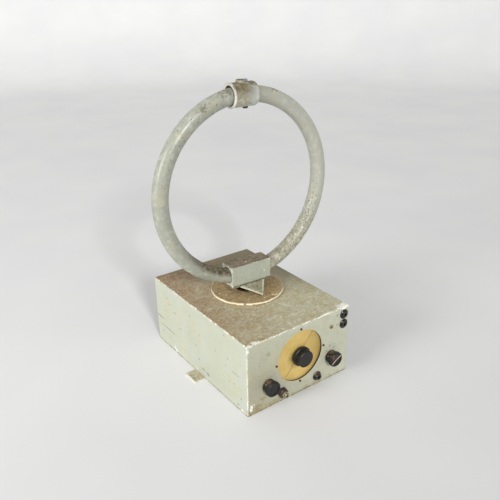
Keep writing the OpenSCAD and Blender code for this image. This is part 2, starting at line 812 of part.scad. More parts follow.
// The hair across the dial, in a thin hub on the drive sleeve
module dial_cursor() {
    hair_len = window_d - 5;
    color("#4a4030") on_panel(0, dial_z) translate([0, 0, panel_y - dial_face + 0.3]) difference() {
        union() {
            rotate([0, 0, -cursor_lean]) translate([-cursor_hair / 2, -hair_len / 2, 0])
                cube([cursor_hair, hair_len, 0.5]);
            cylinder(h = 0.5, d = sleeve_flange_d);
        }
        translate([0, 0, -1]) cylinder(h = 3, d = sleeve_d + 2 * fit);
    }
}

// Outer race of the ball drive, held to the dial plate by two posts
module drive_body() {
    color(brass) difference() {
        union() {
            rod_y(0, dial_z, drive_y, drive_y + drive_body_len, drive_body_d);
            for (side = [-1, 1])
                rod_y(side * (drive_body_d / 2 + 3), dial_z, dial_back, drive_y + 3, 5);
            translate([-drive_body_d / 2 - 5.5, drive_y + 1, dial_z - 2.5]) cube([drive_body_d + 11, 2, 5]);
        }
        rod_y(0, dial_z, drive_y - 1, drive_y + drive_body_len + 1, sleeve_d + 2 * fit);
    }
}

module drive_sleeve() {
    color(steel) difference() {
        union() {
            rod_y(0, dial_z, dial_face - 1.6, sleeve_back, sleeve_d);
            rod_y(0, dial_z, dial_face - 1.6, dial_face - 0.8, sleeve_flange_d);
        }
        rod_y(0, dial_z, dial_face - 3, sleeve_back + 1, shaft_d + 2 * fit);
        for (a = [90, 210, 330])
            translate([0, drive_y + drive_body_len / 2, dial_z]) rotate([0, a, 0])
                cylinder(h = sleeve_d, d = ball_d + 0.2);
    }
}

module drive_balls() {
    r = (shaft_d + sleeve_d) / 4;
    color(steel) for (a = [90, 210, 330])
        translate([0, drive_y + drive_body_len / 2, dial_z]) rotate([0, a, 0])
            translate([0, 0, r]) sphere(d = ball_d);
}

module drive_shaft() {
    color(steel) rod_y(0, dial_z, panel_y - tuning_gap - tuning_len + 3.5, drive_y + drive_body_len, shaft_d);
}

// The tuning knob: a broad rear flange, a fluted body and a plain front cap
module tuning_knob() {
    rear = tuning_rear_d / 2;
    body = tuning_body_d / 2;
    front = tuning_front_d / 2;
    color(bakelite) on_panel(0, dial_z) translate([0, 0, tuning_gap]) difference() {
        rotate_extrude() polygon([
            [0, 0], [rear - 1, 0], [rear, 1], [rear, 4], [rear - 1, 4.8], [body, 5.2],
            [body, tuning_len - 4], [front, tuning_len - 3.4],
            [front, tuning_len - 0.8], [front - 0.8, tuning_len], [0, tuning_len]]);
        for (i = [0 : tuning_flutes - 1])
            rotate([0, 0, i * 360 / tuning_flutes]) translate([body + 0.6, 0, 5.2])
                cylinder(h = tuning_len - 8.9, d = 2.4);
        translate([0, 0, -1]) cylinder(h = tuning_len - 2.4, d = shaft_d + 2 * fit);
        translate([-rear - 1, 0, 2.5]) rotate([0, 90, 0]) cylinder(h = rear, d = 3 + 2 * fit);
    }
}

module tuning_knob_screw() {
    color(steel) on_panel(0, dial_z) translate([0, 0, tuning_gap + 2.5]) rotate([0, -90, 0]) difference() {
        translate([0, 0, shaft_d / 2 + 0.1]) cylinder(h = 10, d = 3);
        translate([0, 0, shaft_d / 2 + 10]) cube([0.6, 4, 1.4], center = true);
    }
}

// Frame and fixed plates of the two-gang capacitor
module capacitor_stator() {
    color(aluminium) difference() {
        union() {
            for (i = [0 : 2])
                translate([-gang_w / 2, gang_y + i * (section_len + gang_plate), deck_z])
                    cube([gang_w, gang_plate, gang_h]);
            translate([-gang_w / 2, gang_y, deck_z]) cube([gang_w, gang_len, 2]);
            for (side = [-1, 1])
                translate([side * (gang_w / 2 - 3) - 1.5, gang_y, deck_z + gang_h - 5]) cube([3, gang_len, 3]);
            for (s = [0, 1], i = [0 : rotor_plates])
                translate([-gang_w / 2, gang_y + gang_plate + s * (section_len + gang_plate)
                    + plate_start - plate_pitch / 2 + i * plate_pitch, deck_z + 1])
                    difference() {
                        cube([gang_w / 2, plate_t, gang_h / 2 + rotor_r * 0.4]);
                        translate([gang_w / 2, 3, gang_h / 2 - 1]) rotate([90, 0, 0]) cylinder(h = 6, r = 6);
                    }
        }
        rod_y(0, dial_z, gang_y - 1, gang_y + gang_len + 1, shaft_d + 2 * fit);
    }
}

module capacitor_rotor() {
    color(aluminium) {
        rod_y(0, dial_z, drive_y + drive_body_len + 0.5, gang_y + gang_len + 2, shaft_d);
        for (s = [0, 1], i = [0 : rotor_plates - 1])
            translate([0, gang_y + gang_plate + s * (section_len + gang_plate) + plate_start
                + i * plate_pitch, dial_z])
                intersection() {
                    translate([0, plate_t, 0]) rotate([90, 0, 0]) cylinder(h = plate_t, r = rotor_r);
                    translate([-rotor_r, -1, -rotor_r - 1]) cube([2 * rotor_r, 3, rotor_r + 1 + shaft_d / 2]);
                }
    }
}

// A small knob: plain skirt with a grub screw, and a fluted head with a flat ring and a sunk face
module small_knob() {
    skirt = skirt_d / 2;
    head = head_d / 2;
    face = face_d / 2;
    sunk = sunk_d / 2;
    head_z = small_len - head_len;
    difference() {
        rotate_extrude() polygon([
            [0, 0], [skirt - 0.6, 0], [skirt, 0.6], [skirt, head_z - 1.2], [head - 0.6, head_z],
            [head, head_z + 0.6], [head, small_len - 1.6], [face, small_len], [sunk, small_len], [sunk, small_len - 0.7], [0, small_len - 0.7]]);
        for (i = [0 : flutes - 1])
            rotate([0, 0, i * 360 / flutes]) translate([head + 0.6, 0, head_z - 1])
                cylinder(h = head_len + 2, d = 2.2);
        translate([0, 0, -1]) cylinder(h = 4, d = 15);
        translate([0, 0, -1]) cylinder(h = small_len - 2, d = shaft_d + 2 * fit);
        translate([-head - 1, 0, 4.6]) rotate([0, 90, 0]) cylinder(h = head, d = 3 + 2 * fit);
    }
}

module small_knob_screw() {
    translate([0, 0, 4.6]) rotate([0, -90, 0]) difference() {
        translate([0, 0, shaft_d / 2 + 0.1]) cylinder(h = skirt_d / 2 - shaft_d / 2 - 0.6, d = 3);
        translate([0, 0, skirt_d / 2 - 0.4]) cube([0.6, 4, 1.4], center = true);
    }
}

// Places a small knob, turned about its shaft
module at_volume() {
    on_panel(-control_x, control_z) translate([0, 0, small_gap]) rotate([0, 0, volume_turn]) children();
}

module at_range() {
    on_panel(control_x, control_z) translate([0, 0, small_gap]) rotate([0, 0, range_turn]) children();
}

module volume_knob() {
    color(bakelite) at_volume() small_knob();
}

module volume_knob_screw() {
    color(steel) at_volume() small_knob_screw();
}

module range_knob() {
    color(bakelite) at_range() difference() {
        small_knob();
        translate([1 - face_d / 2, -groove_w / 2, small_len - 1.3]) cube([face_d - 2, groove_w, 2]);
    }
}

module range_knob_screw() {
    color(steel) at_range() small_knob_screw();
}

// A round control body behind the panel with its threaded neck
module control_body(x, d, length) {
    difference() {
        union() {
            rod_y(x, control_z, panel_back, panel_back + length, d);
            rod_y(x, control_z, panel_y - control_nut_t - 0.2, panel_back + 1, neck_d);
        }
        rod_y(x, control_z, panel_y - 5, panel_back + length - 2, shaft_d + 2 * fit);
        rod_y(x, control_z, panel_y - 5, panel_back + length + 1, 4 + 2 * fit);
    }
}

module volume_control() {
    color(steel) {
        control_body(-control_x, control_body_d, 14);
        for (i = [-1 : 1])
            translate([-control_x + i * 6 - 1.5, panel_back + 8, control_z - control_body_d / 2 - 5]) cube([3, 0.8, 7]);
    }
}

module volume_shaft() {
    color(aluminium) rod_y(-control_x, control_z, panel_y - small_front + 3.3, panel_back + 11.5, shaft_d);
}

module range_switch() {
    color("#8b6a3e") {
        control_body(control_x, control_body_d, 6);
        difference() {
            union() {
                rod_y(control_x, control_z, wafer_y, wafer_y + 1.6, 31);
                for (side = [-1, 1])
                    rod_y(control_x + side * 10, control_z, panel_back + 5, wafer_y + 1, 3);
            }
            rod_y(control_x, control_z, wafer_y - 1, wafer_y + 3, 10);
        }
    }
}

module switch_rotor() {
    color(aluminium) {
        rod_y(control_x, control_z, panel_y - small_front + 3.3, panel_back + 3.5, shaft_d);
        rod_y(control_x, control_z, wafer_y - 1, wafer_y + 2.6, 9.6);
        rod_y(control_x, control_z, panel_back + 3.4, wafer_y, 4);
    }
}

module control_nuts() {
    color(steel) for (side = [-1, 1])
        on_panel(side * control_x, control_z) hex_nut(control_nut_af, control_nut_t, neck_d + 2 * fit);
}

// A moulded socket: flange and raised ring in front, neck and nut behind
module socket_moulding(flange, ring_d, rise) {
    difference() {
        union() {
            rotate_extrude() polygon([
                [0, -socket_len], [socket_neck_d / 2, -socket_len], [socket_neck_d / 2, 0], [flange / 2, 0],
                [flange / 2, 1.2], [flange / 2 - 1.2, 2.2], [ring_d / 2 + 0.8, 2.2],
                [ring_d / 2 - 0.6, rise], [0, rise]]);
            socket_nut();
        }
        translate([0, 0, -socket_len - 1]) cylinder(h = 2 * socket_len, d = socket_bore + 2 * liner_wall + 2 * fit);
    }
}

module socket_nut() {
    translate([0, 0, -case_wall - socket_nut_t]) cylinder(h = socket_nut_t, d = socket_nut_af / cos(30), $fn = 6);
}

module phone_sockets() {
    color(bakelite) for (i = [0, 1])
        on_panel(phone_x, phone_z - i * phone_pitch) socket_moulding(socket_flange_d, 10, 3.8);
}

module earth_socket() {
    color(bakelite) on_panel(earth_x, earth_z) socket_moulding(socket_flange_d, 12, 6);
}

module socket_liners() {
    color(brass) for (p = [[phone_x, phone_z, 3.6], [phone_x, phone_z - phone_pitch, 3.6], [earth_x, earth_z, 5.8]])
        on_panel(p[0], p[1]) translate([0, 0, -socket_len - liner_tail]) difference() {
            cylinder(h = socket_len + liner_tail + p[2], d = socket_bore + 2 * liner_wall);
            translate([0, 0, 3]) cylinder(h = 2 * socket_len, d = socket_bore);
        }
}

module aerial_terminal() {
    color(bakelite) on_panel(aerial_x, aerial_z) difference() {
        union() {
            intersection() {
                cylinder(h = aerial_len, d = aerial_af / cos(30), $fn = 6);
                rotate_extrude() polygon([
                    [0, 0], [aerial_af / 2 + 1.2, 0], [aerial_af / 2 + 1.2, aerial_len - 2],
                    [aerial_af / 2 - 1.4, aerial_len], [0, aerial_len]]);
            }
            translate([0, 0, -socket_len]) cylinder(h = socket_len + 0.5, d = socket_neck_d);
            socket_nut();
        }
        translate([0, 0, -socket_len - 1]) cylinder(h = 3 * socket_len, d = socket_bore + 2 + 2 * fit);
    }
}

// The plated ferrule: a stem through the collar, a round flange and a narrower drilled tip
module aerial_ferrule() {
    flange = ferrule_d / 2;
    tip = ferrule_tip_d / 2;
    tip_z = ferrule_len / 2 + 0.4;
    color(aluminium) on_panel(aerial_x, aerial_z) difference() {
        union() {
            translate([0, 0, -socket_len - liner_tail])
                cylinder(h = socket_len + liner_tail + aerial_len + 1, d = socket_bore + 2);
            translate([0, 0, aerial_len]) rotate_extrude() polygon([
                [0, 0], [flange - 0.5, 0], [flange, 0.6], [flange, tip_z - 0.9], [flange - 0.6, tip_z - 0.2],
                [tip, tip_z], [tip, ferrule_len - 0.6], [tip - 0.6, ferrule_len], [0, ferrule_len]]);
        }
        translate([0, 0, -socket_len]) cylinder(h = 3 * socket_len, d = socket_bore);
    }
}

// The deck with its two sides and outward feet
module chassis() {
    leg = deck_z - base_t;
    color(aluminium) difference() {
        union() {
            translate([-deck_half_w, deck_y, deck_z - deck_t]) cube([2 * deck_half_w, deck_len, deck_t]);
            for (side = [-1, 1]) {
                translate([side * (deck_half_w - deck_t / 2) - deck_t / 2, deck_y, base_t]) cube([deck_t, deck_len, leg]);
                translate([side * (deck_half_w + (foot_w - deck_t) / 2) - (foot_w + deck_t) / 2, deck_y, base_t])
                    cube([foot_w + deck_t, deck_len, deck_t]);
            }
        }
        foot_screw_places() cylinder(h = 12, d = screw_d + 2 * fit);
        for (p = valve_spots)
            translate([p[0], deck_y + p[1], deck_z - 5]) cylinder(h = 10, d = 16);
    }
}

// Gusset brackets between the deck and the panel
module chassis_brackets() {
    y1 = deck_y + 20;
    low = control_z + 18.5;
    color(aluminium) for (side = [-1, 1]) difference() {
        union() {
            translate([side * (bracket_x + 7.7) - deck_t / 2, 0, 0]) rotate([90, 0, 90]) linear_extrude(deck_t)
                polygon([[panel_back, low], [panel_back, bracket_z + 10], [panel_back + 6, bracket_z + 10],
                    [y1, deck_z + 8], [y1, deck_z], [deck_y, deck_z], [deck_y, low]]);
            translate([side * bracket_x - 8, panel_back, low]) cube([16, deck_t, bracket_z + 10 - low]);
            translate([side * (bracket_x + 1.5) - 6.5, deck_y, deck_z]) cube([13, 20, deck_t]);
        }
        on_panel(side * bracket_x, bracket_z) translate([0, 0, -10]) cylinder(h = 20, d = bracket_screw_d + 2 * fit);
    }
}

module bracket_screws() {
    color(brass) for (side = [-1, 1])
        on_panel(side * bracket_x, bracket_z) {
            cheese_screw(bracket_screw_d, case_wall + deck_t + 4.6, bracket_screw_d * 1.45, bracket_screw_d / 2);
            translate([0, 0, -case_wall - deck_t - bracket_screw_d * 0.8])
                hex_nut(bracket_nut_af, bracket_screw_d * 0.8, bracket_screw_d + 2 * fit);
        }
}

module valve_holders() {
    color(paxolin) for (p = valve_spots)
        translate([p[0], deck_y + p[1], deck_z]) difference() {
            union() {
                cylinder(h = holder_h, d = holder_d);
                translate([0, 0, -deck_t - 4.4]) cylinder(h = deck_t + 5, d = holder_neck_d);
            }
            translate([0, 0, 3]) cylinder(h = holder_h, d = valve_d + 0.4);
        }
}

module valves() {
    r = valve_d / 2;
    dome = 6;
    neck = valve_h - 4 - dome;
    color("#9fb4b8") for (p = valve_spots)
        translate([p[0], deck_y + p[1], deck_z + 3]) rotate_extrude() polygon(concat(
            [[0, 0], [r - 1, 0], [r, 1], [r, neck]],
            [for (a = [10 : 10 : 80]) [r * cos(a), neck + dome * sin(a)]],
            [[1.4, neck + dome], [0.8, valve_h], [0, valve_h]]));
}

module if_transformers() {
    color(aluminium) for (p = can_spots)
        translate([p[0], deck_y + p[1], deck_z]) {
            linear_extrude(can_h) rounded_rect(can_w, can_w, can_r);
            translate([0, 0, can_h]) cylinder(h = 1.5, d = can_w / 2);
        }
}

// Laminated core with a window each side of the limb that carries the coil
module output_transformer() {
    window_w = (core_w - 4 * core_limb) / 2;
    window_h = core_h - 2 * core_limb;
    coil = core_stack + 12;
    translate([valve_x, deck_y + middle_row + 2, deck_z]) {
        color("#4b4744") difference() {
            translate([-core_w / 2, -core_stack / 2, 0]) cube([core_w, core_stack, core_h]);
            for (side = [-1, 1])
                translate([side * (core_limb + window_w / 2) - window_w / 2, -core_stack, core_limb])
                    cube([window_w, 2 * core_stack, window_h]);
        }
        color("#8a6a3a") difference() {
            translate([-core_limb - window_w + 0.2, -coil / 2, core_limb + 0.2])
                cube([2 * (core_limb + window_w) - 0.4, coil, window_h - 0.4]);
            translate([-core_limb - 0.2, -core_stack / 2 - 0.1, 0])
                cube([2 * core_limb + 0.4, core_stack + 0.2, core_h]);
        }
    }
}

// The board of small resistors and capacitors under the deck
module tag_board() {
    front = deck_y + middle_row - 2;
    part_front = front + (board_d - small_part_len) / 2;
    pitch = (board_w - 20) / small_parts;
    color(paxolin) {
        translate([-board_w / 2, front, board_z]) cube([board_w, board_d, board_t]);
        for (x = [-1, 1])
            translate([x * (board_w / 2 - 5), front + board_d / 2, board_z + 1])
                cylinder(h = board_t + board_gap - 1, d = 6);
    }
    color("#5a3b22") for (i = [0 : small_parts - 1])
        translate([(i - (small_parts - 1) / 2) * pitch, part_front, board_z - small_part_d / 2 + 0.1])
            rotate([-90, 0, 0]) cylinder(h = small_part_len, d = small_part_d);
}

// Terminal studs on top of a battery, from its front left corner
module battery_terminals(count) {
    for (i = [0 : count - 1])
        translate([terminal_d + i * 3 * terminal_d, 2.5 * terminal_d, battery_h]) cylinder(h = 3, d = terminal_d);
}

module ht_battery() {
    color("#3e5a6b") translate([ht_x, battery_y, base_t]) {
        cube([ht_w, battery_d, battery_h]);
        battery_terminals(2);
    }
}

module lt_battery() {
    color("#7a3a2c") translate([lt_x, battery_y, base_t]) {
        cube([lt_w, battery_d, battery_h]);
        battery_terminals(1);
    }
}

// A bar over each battery, tied down by a rod in front of it and one behind it
module battery_clamp() {
    side = clamp_rod_d / 2 + 1;
    color(steel) for (x = [ht_x + ht_w * 0.65, lt_x + lt_w / 2]) {
        translate([x - clamp_w / 2, battery_y - side - 3, battery_top]) cube([clamp_w, battery_d + 2 * side + 6, clamp_t]);
        for (y = [battery_y - side, battery_y + battery_d + side])
            translate([x, y, base_t]) cylinder(h = battery_h + 1, d = clamp_rod_d);
    }
}

case();
base_plate();
base_screws();
azimuth_scale();
bearing_bush();
bearing_locknut();
thrust_washer();
loop_spindle();
spindle_collar();
bearing_pointer();
pointer_screws();
loop_base_block();
loop_tube_left();
loop_tube_right();
loop_collar();
collar_insulator();
collar_screws();
loop_winding();
retaining_collar();
slip_ring_core();
slip_rings();
brush_block();
brushes();
dial_plate();
dial_spacers();
dial_screws();
dial_cursor();
drive_body();
drive_sleeve();
drive_balls();
drive_shaft();
tuning_knob();
tuning_knob_screw();
capacitor_stator();
capacitor_rotor();
volume_knob();
volume_knob_screw();
volume_control();
volume_shaft();
range_knob();
range_knob_screw();
range_switch();
switch_rotor();
control_nuts();
phone_sockets();
earth_socket();
socket_liners();
aerial_terminal();
aerial_ferrule();
chassis();
chassis_brackets();
bracket_screws();
valve_holders();
valves();
if_transformers();
output_transformer();
tag_board();
ht_battery();
lt_battery();
battery_clamp();
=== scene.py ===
import math

import bmesh
import bpy
from mathutils import Matrix, Vector


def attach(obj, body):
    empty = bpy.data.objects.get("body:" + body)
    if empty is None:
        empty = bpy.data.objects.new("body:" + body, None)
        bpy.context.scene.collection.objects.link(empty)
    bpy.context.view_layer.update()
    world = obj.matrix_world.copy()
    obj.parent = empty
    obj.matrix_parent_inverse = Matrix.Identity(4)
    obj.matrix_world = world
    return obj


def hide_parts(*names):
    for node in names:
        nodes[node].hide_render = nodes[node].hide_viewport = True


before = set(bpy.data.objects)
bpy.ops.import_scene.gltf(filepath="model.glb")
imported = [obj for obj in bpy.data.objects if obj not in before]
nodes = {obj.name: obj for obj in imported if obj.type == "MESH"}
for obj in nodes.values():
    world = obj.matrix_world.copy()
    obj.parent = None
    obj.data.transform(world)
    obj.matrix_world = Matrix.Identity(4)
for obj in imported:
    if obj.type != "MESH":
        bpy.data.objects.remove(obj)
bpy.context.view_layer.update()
bpy.ops.object.select_all(action="DESELECT")

# The case
# One sheet of aluminium folded to a box, with its corners welded, filled and rubbed down, then
# brush painted grey-green. The folds are chipped to the filler and the top is stained brown.


def linear(code):
    """Turns an sRGB hex colour to the linear values that shaders take."""
    parts = [int(code[i:i + 2], 16) / 255 for i in (1, 3, 5)]
    return [c / 12.92 if c <= 0.04045 else ((c + 0.055) / 1.055) ** 2.4 for c in parts] + [1]


def add(tree, kind, links, out=0, **settings):
    """Adds a shader node with its settings, sets or links its inputs, and returns one output."""
    made = tree.nodes.new("ShaderNode" + kind)
    for key, value in settings.items():
        setattr(made, key, value)
    for key, value in links.items():
        if isinstance(value, bpy.types.NodeSocket):
            tree.links.new(value, made.inputs[key])
        else:
            made.inputs[key].default_value = value
    return made.outputs[out]


def start_finish(name, roughness, metallic=0.0):
    """Starts a material. Returns it, its tree, its shader and the place on the piece in millimetres."""
    material = bpy.data.materials.new(name)
    material.use_nodes = True
    tree = material.node_tree
    shader = tree.nodes["Principled BSDF"]
    shader.inputs["Roughness"].default_value = roughness
    shader.inputs["Metallic"].default_value = metallic
    metres = add(tree, "TexCoord", {}, "Object")
    place = add(tree, "VectorMath", {0: metres, "Scale": 1000}, operation="SCALE")
    return material, tree, shader, place


def join(tree, shader, tone, dull=None, metal=None, relief=None):
    """Joins a finish to its shader. Dull and metal are links, or a mask with the values at its low and high
    ends. The relief is a height, its depth in millimetres and its strength."""
    if relief is not None:
        links = {"Height": relief[0], "Distance": relief[1] / 1000, "Strength": relief[2]}
        tree.links.new(add(tree, "Bump", links), shader.inputs["Normal"])
    for key, value in (("Base Color", tone), ("Roughness", dull), ("Metallic", metal)):
        if isinstance(value, tuple):
            value = add(tree, "MapRange", {0: value[0], 3: value[1], 4: value[2]})
        if value is not None:
            tree.links.new(value, shader.inputs[key])


def put_on(material, *names):
    """Gives CAD nodes their finish."""
    for name in names:
        nodes[name].data.materials.clear()
        nodes[name].data.materials.append(material)


def patches(tree, place, size, low, high, detail=4, within=None):
    """Cloudy patches about size millimetres across: 0 where the cloud is thin, 1 where it is thick. They
    fade out where within is low."""
    links = {"Vector": place, "Scale": 1 / size, "Detail": detail, "Roughness": 0.65}
    cloud = add(tree, "MapRange", {0: add(tree, "TexNoise", links), 1: low, 2: high})
    if within is None:
        return cloud
    return add(tree, "Math", {0: cloud, 1: within}, operation="MULTIPLY")


def placed_marks(tree, place, marks, ragged=1.2, size=3, full=0.85):
    """Marks at given places, each a centre and its half lengths in millimetres. Their rims are torn, and
    soft where the full strength is only reached well inside."""
    nearest = None
    for centre, half in marks:
        shrink = [1 / h for h in half]
        shift = [-c / h for c, h in zip(centre, half)]
        local = add(tree, "VectorMath", {0: place, 1: shrink, 2: shift}, operation="MULTIPLY_ADD")
        away = add(tree, "VectorMath", {0: local}, "Value", operation="LENGTH")
        nearest = away if nearest is None else add(tree, "Math", {0: nearest, 1: away}, operation="MINIMUM")
    torn = patches(tree, place, size, 0.3, 0.7, 5)
    reach = add(tree, "Math", {0: torn, 1: ragged, 2: nearest}, operation="MULTIPLY_ADD")
    return add(tree, "MapRange", {0: reach, 1: 1 + ragged / 2, 2: full + ragged / 2})


def facing_parts(tree):
    """Which way the surface faces, along each axis."""
    return add(tree, "SeparateXYZ", {0: add(tree, "NewGeometry", {}, "Normal")}).node.outputs


def below_faces(tree, place, low, high):
    """How far the place lies below the nearest faces of a box with these corners, along each axis."""
    middle = [(a + b) / 2 for a, b in zip(low, high)]
    half = [(b - a) / 2 for a, b in zip(low, high)]
    off = add(tree, "VectorMath", {0: place, 1: middle}, operation="SUBTRACT")
    off = add(tree, "VectorMath", {0: off}, operation="ABSOLUTE")
    inside = add(tree, "VectorMath", {0: half, 1: off}, operation="SUBTRACT")
    return add(tree, "SeparateXYZ", {0: inside}).node.outputs


def edge_gap(tree, place, low, high):
    """How far the place lies from the nearest edge of a box with these corners."""
    parts = below_faces(tree, place, low, high)
    least = add(tree, "Math", {0: parts[0], 1: parts[1]}, operation="MINIMUM")
    most = add(tree, "Math", {0: parts[0], 1: parts[1]}, operation="MAXIMUM")
    third = add(tree, "Math", {0: most, 1: parts[2]}, operation="MINIMUM")
    return add(tree, "Math", {0: least, 1: third}, operation="MAXIMUM")


def edge_wear(tree, place, low, high, reach, lengths=34, grain=5):
    """A broken line of wear along the edges of a box with these corners, up to reach millimetres wide."""
    edge = edge_gap(tree, place, low, high)
    broken = patches(tree, place, grain, 0.35, 0.7, 6)
    width = patches(tree, place, lengths, 0.38, 0.62, 2, broken)
    width = add(tree, "Math", {0: width, 1: -reach, 2: edge}, operation="MULTIPLY_ADD")
    return add(tree, "MapRange", {0: width, 1: 0.3, 2: -0.1})


def tinted(tree, amount, under, over, strength=1.0):
    """Lays a colour over another where amount is high. The colours are links or sRGB codes, and the
    strength is a number or a link."""
    if strength != 1.0:
        amount = add(tree, "Math", {0: amount, 1: strength}, operation="MULTIPLY")
    pair = [linear(c) if isinstance(c, str) else c for c in (under, over)]
    return add(tree, "Mix", {0: amount, 6: pair[0], 7: pair[1]}, 2, data_type="RGBA")


def oil_paint(name, shade="#b3b5a1", worn="#a5a793", fresh="#c4c7b5"):
    """Starts brushed grey-green oil paint: cloudy where it has faded, with a fine dusty grain."""
    material, tree, shader, place = start_finish(name, 0.5)
    faded = patches(tree, place, 70, 0.35, 0.65)
    grain = patches(tree, place, 2.6, 0.3, 0.7, 5)
    coat = tinted(tree, faded, worn, shade)
    coat = tinted(tree, grain, coat, fresh, 0.4)
    return material, tree, shader, place, coat, grain


def age_paint(tree, shader, place, coat, grain, dirt, chips, soil=("#5f4f39", "#8a7253"), deep=0.35,
              filler=("#f6f5ee", "#d2cebb"), gloss=0.46):
    """Cakes the paint with dirt and breaks it away to pale filler, with the dulling and relief of both."""
    tint = patches(tree, place, 8, 0.4, 0.65)
    colour = tinted(tree, dirt, coat, tinted(tree, tint, *soil))
    colour = tinted(tree, chips, colour, tinted(tree, grain, *filler))
    dull = add(tree, "Math", {0: dirt, 1: chips}, operation="MAXIMUM")
    height = add(tree, "Math", {0: grain, 1: 0.3}, operation="MULTIPLY")
    height = add(tree, "Math", {0: dirt, 1: 0.5, 2: height}, operation="MULTIPLY_ADD")
    height = add(tree, "Math", {0: chips, 1: -1, 2: height}, operation="MULTIPLY_ADD")
    join(tree, shader, colour, (dull, gloss, 0.85), None, (height, deep, 0.8))


# Brushed oil paint over filler: satin and chalky, with rough brown dirt on the flat top. The foot has
# no fold, so the box that places the wear goes on below it
half_width, half_depth, case_top, base_thickness = 104, 144, 127, 2
case_low, case_high = (-half_width, -half_depth, -20), (half_width, half_depth, case_top)
window_radius, dial_height = 45, 71
case_paint, tree, shader, place, coat, grain = oil_paint(
    "chipped_case_paint", "#bcbfab", "#b2b5a1", "#cacdbd")
where = add(tree, "SeparateXYZ", {0: place}).node.outputs
facing = facing_parts(tree)
level = add(tree, "MapRange", {0: facing[2], 1: 0.55, 2: 0.9})
ahead = add(tree, "MapRange", {0: facing[1], 1: -0.55, 2: -0.9})

# The front is browner and darker towards its lower left, partly a brown tint and partly painted
# shade. Its lower corner is stained, and it is finely pitted
browner_and_shaded = add(tree, "MapRange", {0: where[0], 1: -half_width, 2: 70, 3: 0.75, 4: 0.1})
browner_and_shaded = add(tree, "Math", {0: browner_and_shaded, 1: ahead}, operation="MULTIPLY")
lower = add(tree, "MapRange", {0: where[2], 1: 60, 2: 125, 3: 1.15, 4: 0.4})
coat = tinted(tree, browner_and_shaded, coat, "#9f9b85", lower)
# Brown stain at the lower left, and a band along the foot that is partly stain, partly painted shade
stain_and_foot_shade = placed_marks(tree, place, [
    ((-92, -144, 4), (30, 6, 15)), ((-60, -144, 0), (40, 6, 12)), ((30, -144, -2), (70, 6, 10)),
    ((-76, -144, 22), (11, 6, 4)),
], 1.4, 8, 0.1)
coat = tinted(tree, stain_and_foot_shade, coat, "#8f7d4e", 0.85)
thin = patches(tree, place, 14, 0.5, 0.68, 4, ahead)
coat = tinted(tree, thin, coat, "#a79c7e", 0.35)
pits = patches(tree, place, 2.2, 0.635, 0.68, 3)
coat = tinted(tree, pits, coat, "#66634f", 0.7)

# Yellow bloom, and cooler clouds on the left side. A rubbed mark is given by its place along and up
# the side, and by half its size along and up
bloom = patches(tree, place, 30, 0.5, 0.7)
coat = tinted(tree, bloom, coat, "#bfb587", 0.4)
leftward = add(tree, "MapRange", {0: facing[0], 1: -0.5, 2: -0.8})
cool = patches(tree, place, 44, 0.5, 0.66, 3, leftward)
coat = tinted(tree, cool, coat, "#bcc2bb", 0.5)
side_marks = {-half_width: (
    (106, 75, 3, 1.6), (92, 93, 2.4, 1.6), (73, 84, 4, 1.2), (56, 60, 2, 2), (24, 68, 2, 1),
    (27, 79, 1.4, 1), (5, 54, 2, 1.6), (-3, 30, 3, 1.6), (-16, 16, 6, 2), (-31, 14, 5, 3),
    (-56, 75, 1.6, 1.6), (-127, 25, 2, 2.4), (-119, 9, 3, 2), (-86, 63, 2.4, 1), (-82, 50, 1.6, 1),
    (-92, 80, 1.4, 2), (21, 103, 2.4, 1.6), (-8, 80, 1.4, 1.8), (-96, 40, 2, 1), (-110, 43, 1.4, 1.8),
    (124, 24, 2, 2), (-84, 118, 1.4, 1.6), (98, 104, 3, 1),
), half_width: (
    (40, 70, 3, 1.4), (-60, 40, 2, 2.6), (90, 90, 2, 1.6), (10, 30, 3, 2), (-110, 92, 1.6, 3),
    (66, 52, 1.4, 1.4),
)}
end_marks = {half_depth: (
    (40, 60, 3, 1.6), (-50, 90, 2, 2), (-14, 24, 2, 1.4), (74, 100, 3, 1),
), -half_depth: (
    (63, 64, 3, 2), (73, 58, 2.2, 1.4), (56, 56, 2.2, 1.4), (78, 116, 2, 2), (78, 98, 1.6, 2),
)}
rubbed = [((x, y, z), (4, long, high)) for x in side_marks for y, z, long, high in side_marks[x]]
rubbed += [((x, y, z), (wide, 4, high)) for y in end_marks for x, z, wide, high in end_marks[y]]
rubbed = placed_marks(tree, place, rubbed)
coat = tinted(tree, rubbed, coat, "#6f715d", 0.6)
scored = placed_marks(tree, place, [
    ((-104, 130, 52), (4, 18, 0.9)), ((-104, 99, 37.5), (4, 34, 0.8)), ((-104, -112, 63), (4, 11, 0.6)),
    ((104, 20, 84), (4, 26, 0.8)), ((-20, 144, 40), (30, 4, 0.8)),
], 0.8, 4)
coat = tinted(tree, scored, coat, "#4c4a38", 0.8)

# Brown dust films the top. Where water has stood, at the left and the rear, it is specked with rust
film = patches(tree, place, 18, 0.25, 0.7, 5)
film = add(tree, "MapRange", {0: film, 3: 0.1})
coat = tinted(tree, film, coat, "#a3956c", level)
pale = patches(tree, place, 5, 0.5, 0.66, 6, level)
coat = tinted(tree, pale, coat, "#d8d4bb", 0.65)
rear = add(tree, "Math", {0: where[0], 1: 0.9, 2: where[1]}, operation="MULTIPLY_ADD")
rear = add(tree, "MapRange", {0: rear, 1: -10, 2: 130})
coat = tinted(tree, rear, coat, "#70674c", level)
scuffs = placed_marks(tree, place, [
    ((8, -112, 127), (26, 2.4, 3)), ((-16, -100, 127), (14, 2, 3)), ((60, -84, 127), (22, 1.4, 3)),
    ((30, -96, 127), (16, 1.2, 3)), ((44, -126, 127), (12, 1.4, 3)), ((-20, -120, 127), (9, 3, 3)),
], 1.4, 4)
coat = tinted(tree, scuffs, coat, "#cbc6ac", 0.4)
lean = add(tree, "Math", {0: where[0], 1: -0.0045, 2: 0.06}, operation="MULTIPLY_ADD")
lean = add(tree, "Math", {0: where[1], 1: 0.0012, 2: lean}, operation="MULTIPLY_ADD")
cloud = patches(tree, place, 26, 0.25, 0.75)
